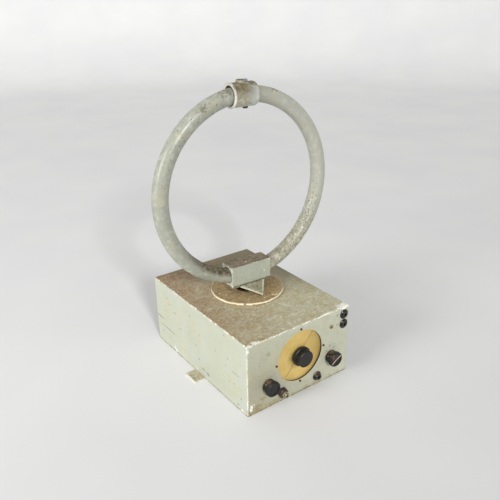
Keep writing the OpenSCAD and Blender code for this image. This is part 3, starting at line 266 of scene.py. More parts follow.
blotches = patches(tree, place, 8, 0.35, 0.65, 3)
specks = patches(tree, place, 2.2, 0.36, 0.64, 4)
stain = add(tree, "Math", {0: cloud, 1: 0.5, 2: lean}, operation="MULTIPLY_ADD")
stain = add(tree, "Math", {0: blotches, 1: 0.45, 2: stain}, operation="MULTIPLY_ADD")
stain = add(tree, "Math", {0: specks, 1: 0.45, 2: stain}, operation="MULTIPLY_ADD")
stain = add(tree, "MapRange", {0: stain, 1: 0.62, 2: 1.42, 4: 0.85})
stain = add(tree, "Math", {0: stain, 1: level}, operation="MULTIPLY")

# Inside, and through the window's rim, the sheet is painted near black-brown as painted shade
depths = below_faces(tree, place, (-half_width, -half_depth, base_thickness), case_high)
inner = add(tree, "Math", {0: depths[0], 1: depths[1]}, operation="MINIMUM")
inner = add(tree, "Math", {0: inner, 1: depths[2]}, operation="MINIMUM")
inner = add(tree, "MapRange", {0: inner, 1: 0.9, 2: 1.2})
links = {0: place, 1: (1, 0, 1), 2: (0, 0, -dial_height)}
from_dial = add(tree, "VectorMath", links, operation="MULTIPLY_ADD")
from_dial = add(tree, "VectorMath", {0: from_dial}, "Value", operation="LENGTH")
window_wall_shade = add(tree, "MapRange", {0: from_dial, 1: window_radius + 0.5, 2: window_radius + 0.2})
front_part = add(tree, "Math", {0: where[1], 1: 4 - half_depth}, operation="LESS_THAN")
window_wall_shade = add(tree, "Math", {0: window_wall_shade, 1: front_part}, operation="MULTIPLY")
turned_in = add(tree, "MapRange", {0: ahead, 3: 1, 4: 0})
window_wall_shade = add(tree, "Math", {0: window_wall_shade, 1: turned_in}, operation="MULTIPLY")
inner = add(tree, "Math", {0: inner, 1: window_wall_shade}, operation="MAXIMUM")
coat = tinted(tree, inner, coat, "#2c241a")

# The folds are paler, partly paint rubbed thin and partly a painted highlight where the rounded fold
# catches the light, and the paint has chipped away at some places and at the corners
fold = edge_gap(tree, place, case_low, case_high)
thin = patches(tree, place, 20, 0.3, 0.6, 3)
thin = add(tree, "Math", {0: thin, 1: 1.3, 2: 0.5}, operation="MULTIPLY_ADD")
thin = add(tree, "Math", {0: thin, 1: fold}, operation="SUBTRACT")
thin = add(tree, "MapRange", {0: thin, 2: 0.6})
coat = tinted(tree, thin, coat, "#dcdccd", 0.8)
high = add(tree, "MapRange", {0: where[2], 1: 100, 2: 120, 3: 0.35})
chips = edge_wear(tree, place, case_low, case_high, 3.4, 16, 3.4)
chips = add(tree, "Math", {0: chips, 1: high}, operation="MULTIPLY")
bare = placed_marks(tree, place, [
    ((95, -144, 125), (10, 3, 4)), ((93, -138, 127), (11, 6, 3)), ((-88, -140, 127), (4.5, 3.4, 3)),
    ((-97, -142, 126), (5, 3, 2)), ((-80, -141, 127), (2, 1.6, 2)), ((-104, -144, 24), (1.6, 1.6, 7)),
    ((-97, -144, 13), (3, 2, 6)), ((-92, -144, 18), (2, 2, 2)), ((-104, -133, 2), (2, 6, 3)),
    ((-104, 75, 4), (2, 3.4, 4)), ((-104, 81, 9), (2, 2, 3)), ((56, -143, 127), (13, 1.6, 1.6)),
    ((-104, 6, 5), (2, 2, 2)), ((-104, -28, 1), (2, 4, 2)), ((-104, 118, 127), (1, 9, 1)),
    ((104, -124, 127), (2, 12, 2)), ((-104, -144, 125), (3, 3, 3.4)), ((-101, -144, 119), (2.4, 2, 3)),
    ((14, -143.6, 127), (9, 1.2, 1.4)), ((-30, -143.6, 127), (6, 1.2, 1.2)), ((-104, -144, 95), (1, 1, 5)),
], 2.2, 3.4)
chips = add(tree, "Math", {0: chips, 1: bare}, operation="MAXIMUM")
solid = placed_marks(tree, place, [
    ((94, -143, 127), (9, 4, 2.4)), ((98, -139, 127), (6, 6, 3)), ((80, -142, 127), (3, 1.6, 2)),
    ((-86, -141, 127), (4, 3, 2.4)), ((-81, -143, 127), (4, 1.6, 2)), ((-97, -144, 14), (2.4, 2, 4)),
    ((-98, -144, 8), (1.6, 2, 2)), ((-104, 78, 5), (2, 2, 3)), ((60, -144, 127), (8, 1.6, 1)),
], 0.9, 2.6, 0.6)
chips = add(tree, "Math", {0: chips, 1: solid}, operation="MAXIMUM")
coat = tinted(tree, solid, coat, "#ffffff")
crumbs = patches(tree, place, 3.2, 0.4, 0.6, 4)
soil = (tinted(tree, crumbs, "#46352a", "#8f6c4d"), tinted(tree, crumbs, "#8e6f4c", "#bf9f76"))
age_paint(tree, shader, place, coat, grain, stain, chips, soil)
put_on(case_paint, "case")

# The base plate
# Aluminium plate that closes the case, with a lug at each side by which the set is screwed down.
# The lugs are caked with brown dirt, and their paint has gone at the edges.
lugs_low, lugs_high = (-125.7, -21.5, 0), (125.7, 9.5, base_thickness)
base_paint, tree, shader, place, coat, grain = oil_paint(
    "worn_base_plate_paint", "#bdb69a", "#ada588", "#d2ccb4")
where = add(tree, "SeparateXYZ", {0: place}).node.outputs
outward = add(tree, "Math", {0: where[0]}, operation="ABSOLUTE")
on_lug = add(tree, "MapRange", {0: outward, 1: half_width - 0.5, 2: half_width + 1})
caked = patches(tree, place, 4.5, 0.4, 0.56, 5)
# Off the lugs, under the case, the plate's edge is darkened with the dirt colours as painted shade
dirt = add(tree, "MapRange", {0: on_lug, 3: 0.9, 4: 0.55})
painted_contact_shade = add(tree, "MapRange", {0: on_lug, 3: 0.5, 4: 0})
dirt = add(tree, "Math", {0: dirt, 1: caked, 2: painted_contact_shade}, operation="MULTIPLY_ADD")
outer = add(tree, "MapRange", {0: outward, 1: 122.2, 2: 124})
outer = patches(tree, place, 3, 0.3, 0.55, 5, outer)
chips = edge_wear(tree, place, lugs_low, lugs_high, 1.6)
chips = add(tree, "Math", {0: chips, 1: on_lug}, operation="MULTIPLY")
chips = add(tree, "Math", {0: chips, 1: outer}, operation="MAXIMUM")
age_paint(tree, shader, place, coat, grain, dirt, chips, ("#56482c", "#b8ab84"))
put_on(base_paint, "base_plate")

# The base screws
# Steel screws through the base plate's edge into the case, driven from below, half gone to rust.


def rusty_steel(name, bare, rust, low, high):
    """Steel that has lost its plating: dull metal where the cloud is thin, rough rust where it is thick."""
    material, tree, shader, place = start_finish(name, 0.4)
    scale = patches(tree, place, 2.2, low, high, 5)
    pits = patches(tree, place, 0.7, 0.3, 0.7, 3)
    brown = tinted(tree, pits, rust, "#74503a")
    tone = tinted(tree, scale, bare, brown)
    height = add(tree, "Math", {0: scale, 1: pits}, operation="MULTIPLY")
    join(tree, shader, tone, (scale, 0.35, 0.9), (scale, 1, 0), (height, 0.1, 0.8))
    return material


put_on(rusty_steel("rusty_base_screws", "#8d8a84", "#4a3223", 0.45, 0.6), "base_screws")

# The chassis and its brackets
# Bare aluminium sheet, bent up on a brake. The rolling lines run fore and aft and show as fine
# streaks. Two angle brackets hold it to the front panel.


def plain_finish(name, dark, light, size, roughness, metallic=0.0, along=(1, 1, 1), relief=0.04):
    """A workshop finish in two close tones: in clouds, or in lines where one direction is drawn out."""
    material, tree, shader, place = start_finish(name, roughness, metallic)
    drawn = add(tree, "Mapping", {"Vector": place, "Scale": along})
    cloud = patches(tree, drawn, size, 0.3, 0.7)
    tone = tinted(tree, cloud, dark, light)
    dull = (cloud, roughness + 0.08, roughness - 0.08)
    join(tree, shader, tone, dull, None, (cloud, relief, 0.6))
    return material


sheet = plain_finish("rolled_aluminium_sheet", "#a8aaab", "#c3c5c6", 3, 0.38, 1.0, (1, 0.06, 1))
put_on(sheet, "chassis", "chassis_brackets")

# The bracket screws
# Round-headed brass screws. The right one is bare and tarnished, the left one is painted over.
screw_paint, tree, shader, place = start_finish("tarnished_brass_screw", 0.45)
side = add(tree, "SeparateXYZ", {0: place})
left = add(tree, "Math", {0: side, 1: 0}, operation="LESS_THAN")
tarnish = patches(tree, place, 1.5, 0.35, 0.65)
brass = tinted(tree, tarnish, "#6f5b3c", "#9c8660")
tone = tinted(tree, left, brass, "#a3a089")
join(tree, shader, tone, None, (left, 0.5, 0), (tarnish, 0.1, 0.6))
put_on(screw_paint, "bracket_screws")

# The valve holders
# Octal holders of resin-bonded paper, brown, with the cut layers showing at the edge as fine lines.
board = plain_finish("layered_paxolin", "#6e4524", "#8f5f35", 2.4, 0.5, 0.0, (0.3, 0.3, 3))
put_on(board, "valve_holders")

# The valves
# Clear glass bulbs silvered at the top by the getter, cemented into black moulded bases.
base_top, getter_foot = 63, 91
bulb, tree, shader, place = start_finish("getter_silvered_glass", 0.06)
height = add(tree, "SeparateXYZ", {0: place}).node.outputs[2]
base = add(tree, "MapRange", {0: height, 1: base_top, 2: base_top - 0.4})
ragged = patches(tree, place, 5, 0.3, 0.7)
getter = add(tree, "Math", {0: ragged, 1: 3, 2: height}, operation="MULTIPLY_ADD")
getter = add(tree, "MapRange", {0: getter, 1: getter_foot, 2: getter_foot + 2})
tone = tinted(tree, getter, "#dfe6e6", "#a7a9a8")
tone = tinted(tree, base, tone, "#1d1a18")
opaque = add(tree, "Math", {0: base, 1: getter}, operation="MAXIMUM")
tree.links.new(add(tree, "MapRange", {0: opaque, 3: 0.92, 4: 0}), shader.inputs["Transmission Weight"])
join(tree, shader, tone, (base, 0.06, 0.4), getter)
put_on(bulb, "valves")

# The intermediate transformers
# Square screening cans, each drawn from soft aluminium, with a dull etched skin.
put_on(plain_finish("drawn_aluminium_can", "#9b9d9f", "#b9bbbc", 9, 0.45, 1.0), "if_transformers")

# The output transformer
# A stack of iron stampings, edge on, with rust starting between them.
stack = plain_finish("stacked_iron_stampings", "#3f3935", "#6d625a", 1.0, 0.55, 0.7, (3, 0.05, 0.05), 0.2)
put_on(stack, "output_transformer")

# The tag board
# A paxolin strip under the chassis with the set's small resistors and capacitors laid across it.
# The strip is waxed over with them, in bands, and only the posts that hold it are bare.
parts_finish, tree, shader, place = start_finish("tag_board_and_parts", 0.5)
where = add(tree, "SeparateXYZ", {0: place}).node.outputs
bands_per_mm, posts_from = 0.11, 37.5
band = add(tree, "Math", {0: where[0], 1: bands_per_mm}, operation="MULTIPLY")
band = add(tree, "Math", {0: band}, operation="FLOOR")
which = add(tree, "TexWhiteNoise", {"W": band}, noise_dimensions="1D")
posts = add(tree, "MapRange", {0: where[2], 1: posts_from, 2: posts_from + 0.5})
wax = tinted(tree, which, "#6b3a22", "#b39a63")
cloud = patches(tree, place, 4, 0.3, 0.7)
paper = tinted(tree, cloud, "#6e4524", "#8b5c33")
tone = tinted(tree, posts, wax, paper)
join(tree, shader, tone, (cloud, 0.42, 0.62))
put_on(parts_finish, "tag_board")

# The batteries
# Dry batteries in printed card, with studs on top whose tips are black. The card carries no marks.
tips_from = 66.4


def battery_card(name, dark, light):
    """Scuffed printed card, dull and papery, with black and glossy tips on the studs."""
    material, tree, shader, place = start_finish(name, 0.7)
    height = add(tree, "SeparateXYZ", {0: place}).node.outputs[2]
    tips = add(tree, "MapRange", {0: height, 1: tips_from, 2: tips_from + 0.4})
    scuff = patches(tree, place, 18, 0.35, 0.65, 5)
    card = tinted(tree, scuff, dark, light)
    tone = tinted(tree, tips, card, "#1b1917")
    lumps = add(tree, "Math", {0: scuff, 1: tips}, operation="MULTIPLY")
    join(tree, shader, tone, (tips, 0.72, 0.3), None, (lumps, 0.6, 0.7))
    return material


put_on(battery_card("blue_battery_card", "#35505f", "#4a6878"), "ht_battery")
put_on(battery_card("red_battery_card", "#6a3227", "#844537"), "lt_battery")

# The battery clamp
# Zinc-plated steel bars and rods over the batteries, grey and a little rusty.
put_on(rusty_steel("zinc_plated_clamp", "#9a9c9d", "#5b4030", 0.58, 0.75), "battery_clamp")

# The bearing bush, its locknut and the washer
# Turned brass, coloured dark brown. The tool marks run round the axis. The washer is pressed fibre.
loop_axis = (4.2, 4.8, 0)
bush_brass, tree, shader, place = start_finish("dark_turned_brass", 0.35, 1.0)
centred = add(tree, "VectorMath", {0: place, 1: loop_axis}, operation="SUBTRACT")
rings = add(tree, "TexWave", {"Vector": centred, "Scale": 0.9, "Distortion": 0.4}, wave_type="RINGS",
            rings_direction="Z")
dark_mottle = patches(tree, place, 6, 0.35, 0.65)
tone = tinted(tree, dark_mottle, "#3b2f21", "#6e5734")
join(tree, shader, tone, relief=(rings, 0.04, 0.5))
put_on(bush_brass, "bearing_bush", "bearing_locknut")
put_on(plain_finish("red_fibre_washer", "#5c2c22", "#743a2c", 2.5, 0.6), "thrust_washer")

# The bearing scale
# A thick cream plastic disc that turns stiffly round the bush. Its rim stays pale where hands turn
# it, and the face is caked with brown dirt over fine engraved marks and one red mark.


def rough_copy(name, node, body, cell, dents, above=None):
    """Remakes a finished CAD piece in even cells of this size, so that its edges soften, and dents it
    inwards by clouds, each a size and a depth in millimetres, where it lies above a height."""
    piece = bpy.data.objects.new(name, nodes[node].data.copy())
    bpy.context.scene.collection.objects.link(piece)
    bpy.ops.object.select_all(action="DESELECT")
    piece.select_set(True)
    bpy.context.view_layer.objects.active = piece
    bpy.ops.object.mode_set(mode="EDIT")
    bpy.ops.mesh.select_all(action="SELECT")
    bpy.ops.mesh.remove_doubles(threshold=0.00001)
    bpy.ops.object.mode_set(mode="OBJECT")
    remesh = piece.modifiers.new("even_cells", "REMESH")
    remesh.mode = "VOXEL"
    remesh.voxel_size = cell / 1000
    bpy.ops.object.modifier_apply(modifier=remesh.name)
    dented = [v.index for v in piece.data.vertices if above is None or v.co.z > above / 1000]
    piece.vertex_groups.new(name="dented").add(dented, 1, "REPLACE")
    for size, depth in dents:
        clouds = bpy.data.textures.new("skin_clouds", "CLOUDS")
        clouds.noise_scale = size / 1000
        clouds.noise_depth = 3
        dent = piece.modifiers.new("dents", "DISPLACE")
        dent.texture = clouds
        dent.texture_coords = "LOCAL"
        dent.vertex_group = "dented"
        dent.mid_level = 1
        dent.strength = depth / 1000
        bpy.ops.object.modifier_apply(modifier=dent.name)
    bpy.ops.object.shade_smooth()
    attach(piece, body)
    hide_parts(node)


face_height, marks_inner, marks_outer, mark_spacing = 131.4, 56.4, 61.4, 5
scale_cream, tree, shader, place = start_finish("caked_cream_scale", 0.6)
centred = add(tree, "VectorMath", {0: place, 1: loop_axis}, operation="SUBTRACT")
flat = add(tree, "VectorMath", {0: centred, 1: (1, 1, 0)}, operation="MULTIPLY")
radius = add(tree, "VectorMath", {0: flat}, "Value", operation="LENGTH")
parts = add(tree, "SeparateXYZ", {0: centred}).node.outputs
angle = add(tree, "Math", {0: parts[1], 1: parts[0]}, operation="ARCTAN2")
degrees = add(tree, "Math", {0: angle}, operation="DEGREES")
gap = add(tree, "Math", {0: degrees, 1: mark_spacing / 2}, operation="PINGPONG")
line = add(tree, "MapRange", {0: gap, 1: 0.6, 2: 0.35})
on_face = add(tree, "MapRange", {0: radius, 1: marks_inner, 2: marks_inner + 0.5})
off_rim = add(tree, "MapRange", {0: radius, 1: marks_outer, 2: marks_outer - 0.4})
line = add(tree, "Math", {0: line, 1: on_face}, operation="MULTIPLY")
line = add(tree, "Math", {0: line, 1: off_rim}, operation="MULTIPLY")
line = patches(tree, place, 9, 0.35, 0.6, 4, line)
cream = patches(tree, place, 12, 0.35, 0.65)
tone = tinted(tree, cream, "#dccda8", "#f4e9cf")

# The crust is granular, thins out towards the rim, and lies over the rim in front
crumbs = patches(tree, place, 1.9, 0.32, 0.66, 5)
cover = patches(tree, place, 13, 0.3, 0.62)
inner = add(tree, "Math", {0: cover, 1: 1.6, 2: radius}, operation="MULTIPLY_ADD")
inner = add(tree, "MapRange", {0: inner, 1: 63.4, 2: 61.8})
facing = facing_parts(tree)
flat_top = add(tree, "MapRange", {0: facing[2], 1: 0.3, 2: 0.6})
inner = add(tree, "Math", {0: inner, 1: flat_top}, operation="MULTIPLY")
rim_dirt = placed_marks(tree, place, [
    ((-35, -44, 131), (3.4, 4, 4)), ((-24, -53, 128), (2, 3, 2)), ((-46, -33, 128), (3, 3, 1.5)),
    ((-8, -56, 127.6), (9, 4, 1.2)), ((30, -51, 127.6), (8, 6, 1)),
], 1.8, 3)
inner = add(tree, "Math", {0: inner, 1: rim_dirt}, operation="MAXIMUM")
# The rim's lowest band gets the crust's colours as painted shade, where the disc sits on the case
rim_foot_shade = add(tree, "Math", {0: cover, 1: -1.2, 2: parts[2]}, operation="MULTIPLY_ADD")
rim_foot_shade = add(tree, "MapRange", {0: rim_foot_shade, 1: 128.6, 2: 127.9, 4: 0.85})
inner = add(tree, "Math", {0: inner, 1: rim_foot_shade}, operation="MAXIMUM")
cake = add(tree, "MapRange", {0: crumbs, 3: 1, 4: 0.72})
cake = add(tree, "Math", {0: cake, 1: inner}, operation="MULTIPLY")
soil = patches(tree, place, 8, 0.38, 0.62, 4)
brown = tinted(tree, soil, "#4b391c", "#9a7c44")
brown = tinted(tree, crumbs, brown, "#b5965e", 0.5)
tone = tinted(tree, cake, tone, brown)
tone = tinted(tree, line, tone, "#b3a27c", 0.6)
pale = placed_marks(tree, place, [
    ((3, -47, 132), (2, 1.2, 3)), ((-21, -35, 132), (1.4, 1.2, 3)), ((-42, 0, 132), (2, 1.2, 3)),
    ((-48, 12, 132), (1.4, 1.4, 3)), ((22, -46, 132), (3.4, 1.4, 3)), ((26, -49, 132), (4, 1.6, 3)),
    ((-30, -20, 132), (1, 1, 3)), ((40, -20, 132), (1, 1, 3)), ((48, 6, 132), (1, 1.6, 3)),
], 1, 2)
tone = tinted(tree, pale, tone, "#e6d9b6")
red = placed_marks(tree, place, [
    ((20.2, -38.5, 132), (1.3, 2.6, 3)), ((18.6, -34, 132), (0.9, 1.6, 3)),
], 1, 2)
tone = tinted(tree, red, tone, "#a5372b", 0.85)
height = add(tree, "Math", {0: cake, 1: crumbs}, operation="MULTIPLY")
join(tree, shader, tone, (cake, 0.42, 0.92), None, (height, 0.8, 1))
put_on(scale_cream, "azimuth_scale")
rough_copy("crusted_scale_disc", "azimuth_scale", "scale_ring", 0.8,
           ((2.2, 0.9), (7, 0.5)), face_height)

# The spindle and its collars
# Bright steel, turned on a lathe and greased. Fine rings run round the upright axis.
steel, tree, shader, place = start_finish("turned_greased_steel", 0.32, 1.0)
rings = add(tree, "TexWave", {"Vector": place, "Scale": 1.1, "Distortion": 0.3}, bands_direction="Z")
grease = patches(tree, place, 5, 0.35, 0.65)
tone = tinted(tree, grease, "#6f6c68", "#a2a09c")
join(tree, shader, tone, (grease, 0.26, 0.42), None, (rings, 0.03, 0.5))
put_on(steel, "loop_spindle", "spindle_collar", "retaining_collar")

# The slip rings and brushes
# Two brass rings on a paxolin sleeve carry the loop's signal, wiped by springy bronze brushes.
put_on(plain_finish("rolled_paxolin_tube", "#6e4524", "#8a5a32", 2.2, 0.45, 0.0, (0.3, 0.3, 3)),
       "slip_ring_core", "brush_block")
put_on(plain_finish("wiped_slip_ring_brass", "#8d6c36", "#b8965a", 1.5, 0.28, 1.0, (0.2, 0.2, 3)),
       "slip_rings")
put_on(plain_finish("spring_bronze", "#7d5330", "#a87a4c", 1.2, 0.34, 1.0, (1, 0.2, 1)), "brushes")

# The bearing pointer
# Aluminium plate under the loop's block, cut to a triangle in front and bent down to the scale.
# The face is brown with dirt, and its edges are rubbed bright.
loop_rest_turn = -2.6


def in_loop_frame(tree, place):
    """The place seen from the loop's axis and turned with the loop, which rests a little off square, and
    its parts along the axes."""
    links = {"Vector": place, "Location": loop_axis, "Rotation": (0, 0, math.radians(loop_rest_turn))}
    turned = add(tree, "Mapping", links, vector_type="TEXTURE")
    return turned, add(tree, "SeparateXYZ", {0: turned}).node.outputs


pointer_paint, tree, shader, place, coat, grain = oil_paint("rubbed_pointer_paint")
turned, parts = in_loop_frame(tree, place)

# How far the place lies in from the plate's slanting edges
wide = add(tree, "Math", {0: parts[0]}, operation="ABSOLUTE")
slope = add(tree, "Math", {0: wide, 1: -0.833, 2: 26.9}, operation="MULTIPLY_ADD")
inset = add(tree, "Math", {0: parts[1], 1: 0.553, 2: slope}, operation="MULTIPLY_ADD")
broken = patches(tree, place, 5, 0.3, 0.7, 5)
inset = add(tree, "Math", {0: broken, 1: -1.2, 2: inset}, operation="MULTIPLY_ADD")
chips = add(tree, "MapRange", {0: inset, 1: 0.5, 2: -0.3, 4: 0.8})
in_front = add(tree, "MapRange", {0: parts[1], 1: -16.6, 2: -17.4})
chips = add(tree, "Math", {0: chips, 1: in_front}, operation="MULTIPLY")
facing = facing_parts(tree)
up = add(tree, "MapRange", {0: facing[2], 1: 0.4, 2: 0.8})
crust = add(tree, "MapRange", {0: patches(tree, place, 6, 0.28, 0.6, 5), 3: 0.3, 4: 0.9})
dirt = add(tree, "Math", {0: crust, 1: up}, operation="MULTIPLY")
# Beneath the block the plate gets the dark dirt colour as painted shade from the block
under = add(tree, "MapRange", {0: in_front, 3: 0.8, 4: 0})
dirt = add(tree, "Math", {0: dirt, 1: under}, operation="MAXIMUM")
age_paint(tree, shader, place, coat, grain, dirt, chips, ("#625a40", "#8d8a6c"),
          filler=("#d6d6bf", "#aeb39a"))
put_on(pointer_paint, "bearing_pointer")
put_on(rusty_steel("rusty_pointer_screws", "#7d7a75", "#46301f", 0.4, 0.6), "pointer_screws")

# The loop's base block
# A sand casting in light alloy that grips both tube ends, painted with the rest. Its top holds
# brown dirt, its edges are chipped, and the casting skin shows as a fine pebble.
block_low, block_high = (-39.5, -16, 145.3), (39.5, 16, 182.3)
block_paint, tree, shader, place, coat, grain = oil_paint(
    "chipped_block_paint", "#aaad9e", "#a1a494", "#b6b9ab")
turned, parts = in_loop_frame(tree, place)
facing = facing_parts(tree)
up = add(tree, "MapRange", {0: facing[2], 1: 0.4, 2: 0.8})
# The end facing left is painted lighter: painted light
left_end_painted_light = add(tree, "MapRange", {0: facing[0], 1: -0.5, 2: -0.8})
coat = tinted(tree, left_end_painted_light, coat, "#cfd0bf", 0.6)
pits = patches(tree, place, 2, 0.63, 0.68, 3)
coat = tinted(tree, pits, coat, "#55503f", 0.7)
clouds = patches(tree, place, 11, 0.25, 0.6, 5)
crumbs = patches(tree, place, 2.4, 0.35, 0.65, 5)
dirt = add(tree, "MapRange", {0: clouds, 3: 0.78})
lumpy = add(tree, "MapRange", {0: crumbs, 3: 0.72})
dirt = add(tree, "Math", {0: dirt, 1: lumpy}, operation="MULTIPLY")
dirt = add(tree, "Math", {0: dirt, 1: up}, operation="MULTIPLY")
low = add(tree, "Math", {0: crumbs, 1: -4, 2: parts[2]}, operation="MULTIPLY_ADD")
low = add(tree, "MapRange", {0: low, 1: 147, 2: 143, 4: 0.85})
dirt = add(tree, "Math", {0: dirt, 1: low}, operation="MAXIMUM")
edge = edge_gap(tree, turned, block_low, block_high)
thin = patches(tree, place, 12, 0.35, 0.6, 3)
thin = add(tree, "Math", {0: thin, 1: 1.2, 2: edge}, operation="SUBTRACT")
thin = add(tree, "MapRange", {0: thin, 2: 0.5})
coat = tinted(tree, thin, coat, "#d9dacb", 0.7)

# Chips run along every edge but the foot's, which sits on the pointer
chips = edge_wear(tree, turned, (*block_low[:2], 100), block_high, 2.6, 12, 3)
knocks = placed_marks(tree, turned, [
    ((25.4, -16, 164), (1.6, 3, 1)), ((26, -16, 160.4), (1.2, 3, 1.6)), ((36, -16, 180), (3, 4, 1.2)),
    ((-38, -16, 147), (2, 4, 2)), ((8, -10, 182.3), (2.4, 1, 2)), ((-4, -4, 182.3), (1.6, 1.6, 2)),
    ((-39.5, 0, 148), (3, 6, 2)), ((-39.5, -14, 177), (3, 2, 4)),
], 1.6, 3)
chips = add(tree, "Math", {0: chips, 1: knocks}, operation="MAXIMUM")
age_paint(tree, shader, place, coat, grain, dirt, chips, ("#59472f", "#8b7350"), 0.5,
          ("#efeee4", "#c9c7b4"), 0.4)
put_on(block_paint, "loop_base_block")
rough_copy("cast_base_block", "loop_base_block", "loop", 1.1, ((3, 0.9), (9, 0.9)))

# The loop tube
# Aluminium tube of one inch, bent to a ring in two halves. Dirt lies where the lower bends face
# upwards, and the top of the left half is peppered with brown specks of corrosion.
tube_paint, tree, shader, place, coat, grain = oil_paint(
    "specked_tube_paint", "#999b8e", "#8d8f80", "#a9aba0")
turned, parts = in_loop_frame(tree, place)
facing = facing_parts(tree)
right_half = add(tree, "MapRange", {0: parts[0], 1: -20, 2: 60})
coat = tinted(tree, right_half, coat, "#b2b3a7", 0.6)
yellowed = patches(tree, place, 38, 0.5, 0.7)
coat = tinted(tree, yellowed, coat, "#b3ac8a", 0.4)
sallow = add(tree, "MapRange", {0: parts[2], 1: 270, 2: 200})
sallow = add(tree, "Math", {0: sallow, 1: right_half}, operation="MULTIPLY")
coat = tinted(tree, sallow, coat, "#9b977f", 0.75)
cream = patches(tree, place, 9, 0.55, 0.6, 5, sallow)
coat = tinted(tree, cream, coat, "#ddd8c0", 0.75)
rubbed = patches(tree, place, 11, 0.5, 0.68, 5)
coat = tinted(tree, rubbed, coat, "#c3c4b8", 0.55)
up = add(tree, "MapRange", {0: facing[2], 2: 0.6})
low = add(tree, "MapRange", {0: parts[2], 1: 250, 2: 186, 4: 1.35})
dirt = add(tree, "Math", {0: up, 1: low}, operation="MULTIPLY")
dirt = patches(tree, place, 9, 0.2, 0.5, 5, dirt)
left_half = add(tree, "MapRange", {0: right_half, 3: 1.05, 4: 0.2})
dirt = add(tree, "Math", {0: dirt, 1: left_half}, operation="MULTIPLY")

# Corrosion comes through in dark specks, most of them on the upper left and at the lower right
high = add(tree, "MapRange", {0: parts[2], 1: 330, 2: 420})
leftward = add(tree, "MapRange", {0: parts[0], 1: 20, 2: -40, 4: 0.55})
peppered = add(tree, "Math", {0: high, 1: leftward}, operation="MULTIPLY")
rightward = add(tree, "MapRange", {0: parts[0], 1: 10, 2: 60})
below = add(tree, "MapRange", {0: parts[2], 1: 330, 2: 250, 4: 1.15})
below = add(tree, "Math", {0: below, 1: rightward}, operation="MULTIPLY")
peppered = add(tree, "Math", {0: peppered, 1: below}, operation="MAXIMUM")
peppered = add(tree, "MapRange", {0: peppered, 2: 1.15, 3: 0.64, 4: 0.55})
spots = add(tree, "TexNoise", {"Vector": place, "Scale": 0.3, "Detail": 5, "Roughness": 0.7})
spots = add(tree, "Math", {0: spots, 1: peppered}, operation="SUBTRACT")
spots = add(tree, "MapRange", {0: spots, 2: 0.05, 4: 0.85})
dirt = add(tree, "Math", {0: dirt, 1: spots}, operation="MAXIMUM")
blots = placed_marks(tree, turned, [
    ((-118, -10, 398), (4, 6, 2)), ((-137, -10, 366), (1.5, 8, 1)), ((121, -2, 222), (7, 12, 14)),
    ((104, -2, 200), (5, 12, 5)), ((66, 0, 184), (12, 14, 5)), ((138, -2, 262), (3, 10, 9)),
    ((-62, -6, 182), (18, 14, 6)), ((-86, -6, 194), (12, 12, 6)), ((-30, -6, 462), (20, 14, 6)),
    ((-104, -4, 212), (8, 10, 9)), ((-74, -8, 446), (9, 8, 5)), ((52, -4, 462), (12, 10, 5)),
], 2.4, 5, 0.2)
blots = add(tree, "Math", {0: blots, 1: 0.7}, operation="MULTIPLY")
dirt = add(tree, "Math", {0: dirt, 1: blots}, operation="MAXIMUM")
where_rubbed = patches(tree, place, 45, 0.5, 0.62, 2)
chips = patches(tree, place, 2, 0.67, 0.7, 3, where_rubbed)
age_paint(tree, shader, place, coat, grain, dirt, chips, ("#484132", "#7a725a"), 0.3, gloss=0.32)
put_on(tube_paint, "loop_tube_left", "loop_tube_right")

# The winding
# Enamelled copper wire, a few turns laid up as a bundle and drawn through the tube.
put_on(plain_finish("enamelled_copper_wire", "#4f2413", "#8a4a28", 0.8, 0.3, 0.6, (1, 3, 1)),
       "loop_winding")

# The loop collar
# A cast sleeve over the gap between the tube halves, open-mouthed at the left with a raised bead,
# and a boss on top for the screw. Brown stain runs over the top.
collar_axis, bore_radius = 457.2, 15
collar_paint, tree, shader, place, coat, grain = oil_paint(
    "stained_collar_paint", "#adaea4", "#a0a195", "#bcbdb4")
turned, parts = in_loop_frame(tree, place)
facing = facing_parts(tree)
ahead = add(tree, "MapRange", {0: facing[1], 1: 0.1, 2: -0.5})
clean = add(tree, "MapRange", {0: parts[0], 1: -2, 2: 12})
clean = add(tree, "Math", {0: clean, 1: ahead}, operation="MULTIPLY")
coat = tinted(tree, clean, coat, "#b9bdb8", 0.75)

# Olive-brown stain runs over the top and down the left half, and holds dark specks
olive = add(tree, "MapRange", {0: parts[0], 1: 8, 2: -6})
olive = patches(tree, place, 12, 0.2, 0.5, 4, olive)
coat = tinted(tree, olive, coat, "#a29b80", 0.75)
shown = patches(tree, place, 6, 0.5, 0.62, 5)
coat = tinted(tree, shown, coat, "#cbcabb", 0.6)
upper = add(tree, "MapRange", {0: facing[2], 1: -0.35, 2: 0.55, 4: 0.85})
leftward = add(tree, "MapRange", {0: parts[0], 1: 14, 2: -2, 3: 0.35})
level = add(tree, "MapRange", {0: facing[2], 1: 0.45, 2: 0.85})
leftward = add(tree, "Math", {0: leftward, 1: level}, operation="MAXIMUM")
dirt = patches(tree, place, 9, 0.12, 0.46, 5, upper)
dirt = add(tree, "Math", {0: dirt, 1: leftward}, operation="MULTIPLY")
spots = patches(tree, place, 2.2, 0.63, 0.66, 3)
spots = add(tree, "Math", {0: spots, 1: 0.8}, operation="MULTIPLY")
dirt = add(tree, "Math", {0: dirt, 1: spots}, operation="MAXIMUM")
bead = add(tree, "MapRange", {0: parts[0], 1: -22.2, 2: -23.4})
coat = tinted(tree, bead, coat, "#e2e2da", 0.95)
links = {0: turned, 1: (0, 1, 1), 2: (0, 0, -collar_axis)}
from_axis = add(tree, "VectorMath", links, operation="MULTIPLY_ADD")
from_axis = add(tree, "VectorMath", {0: from_axis}, "Value", operation="LENGTH")
outer = add(tree, "MapRange", {0: from_axis, 1: 17.9, 2: 18.7})
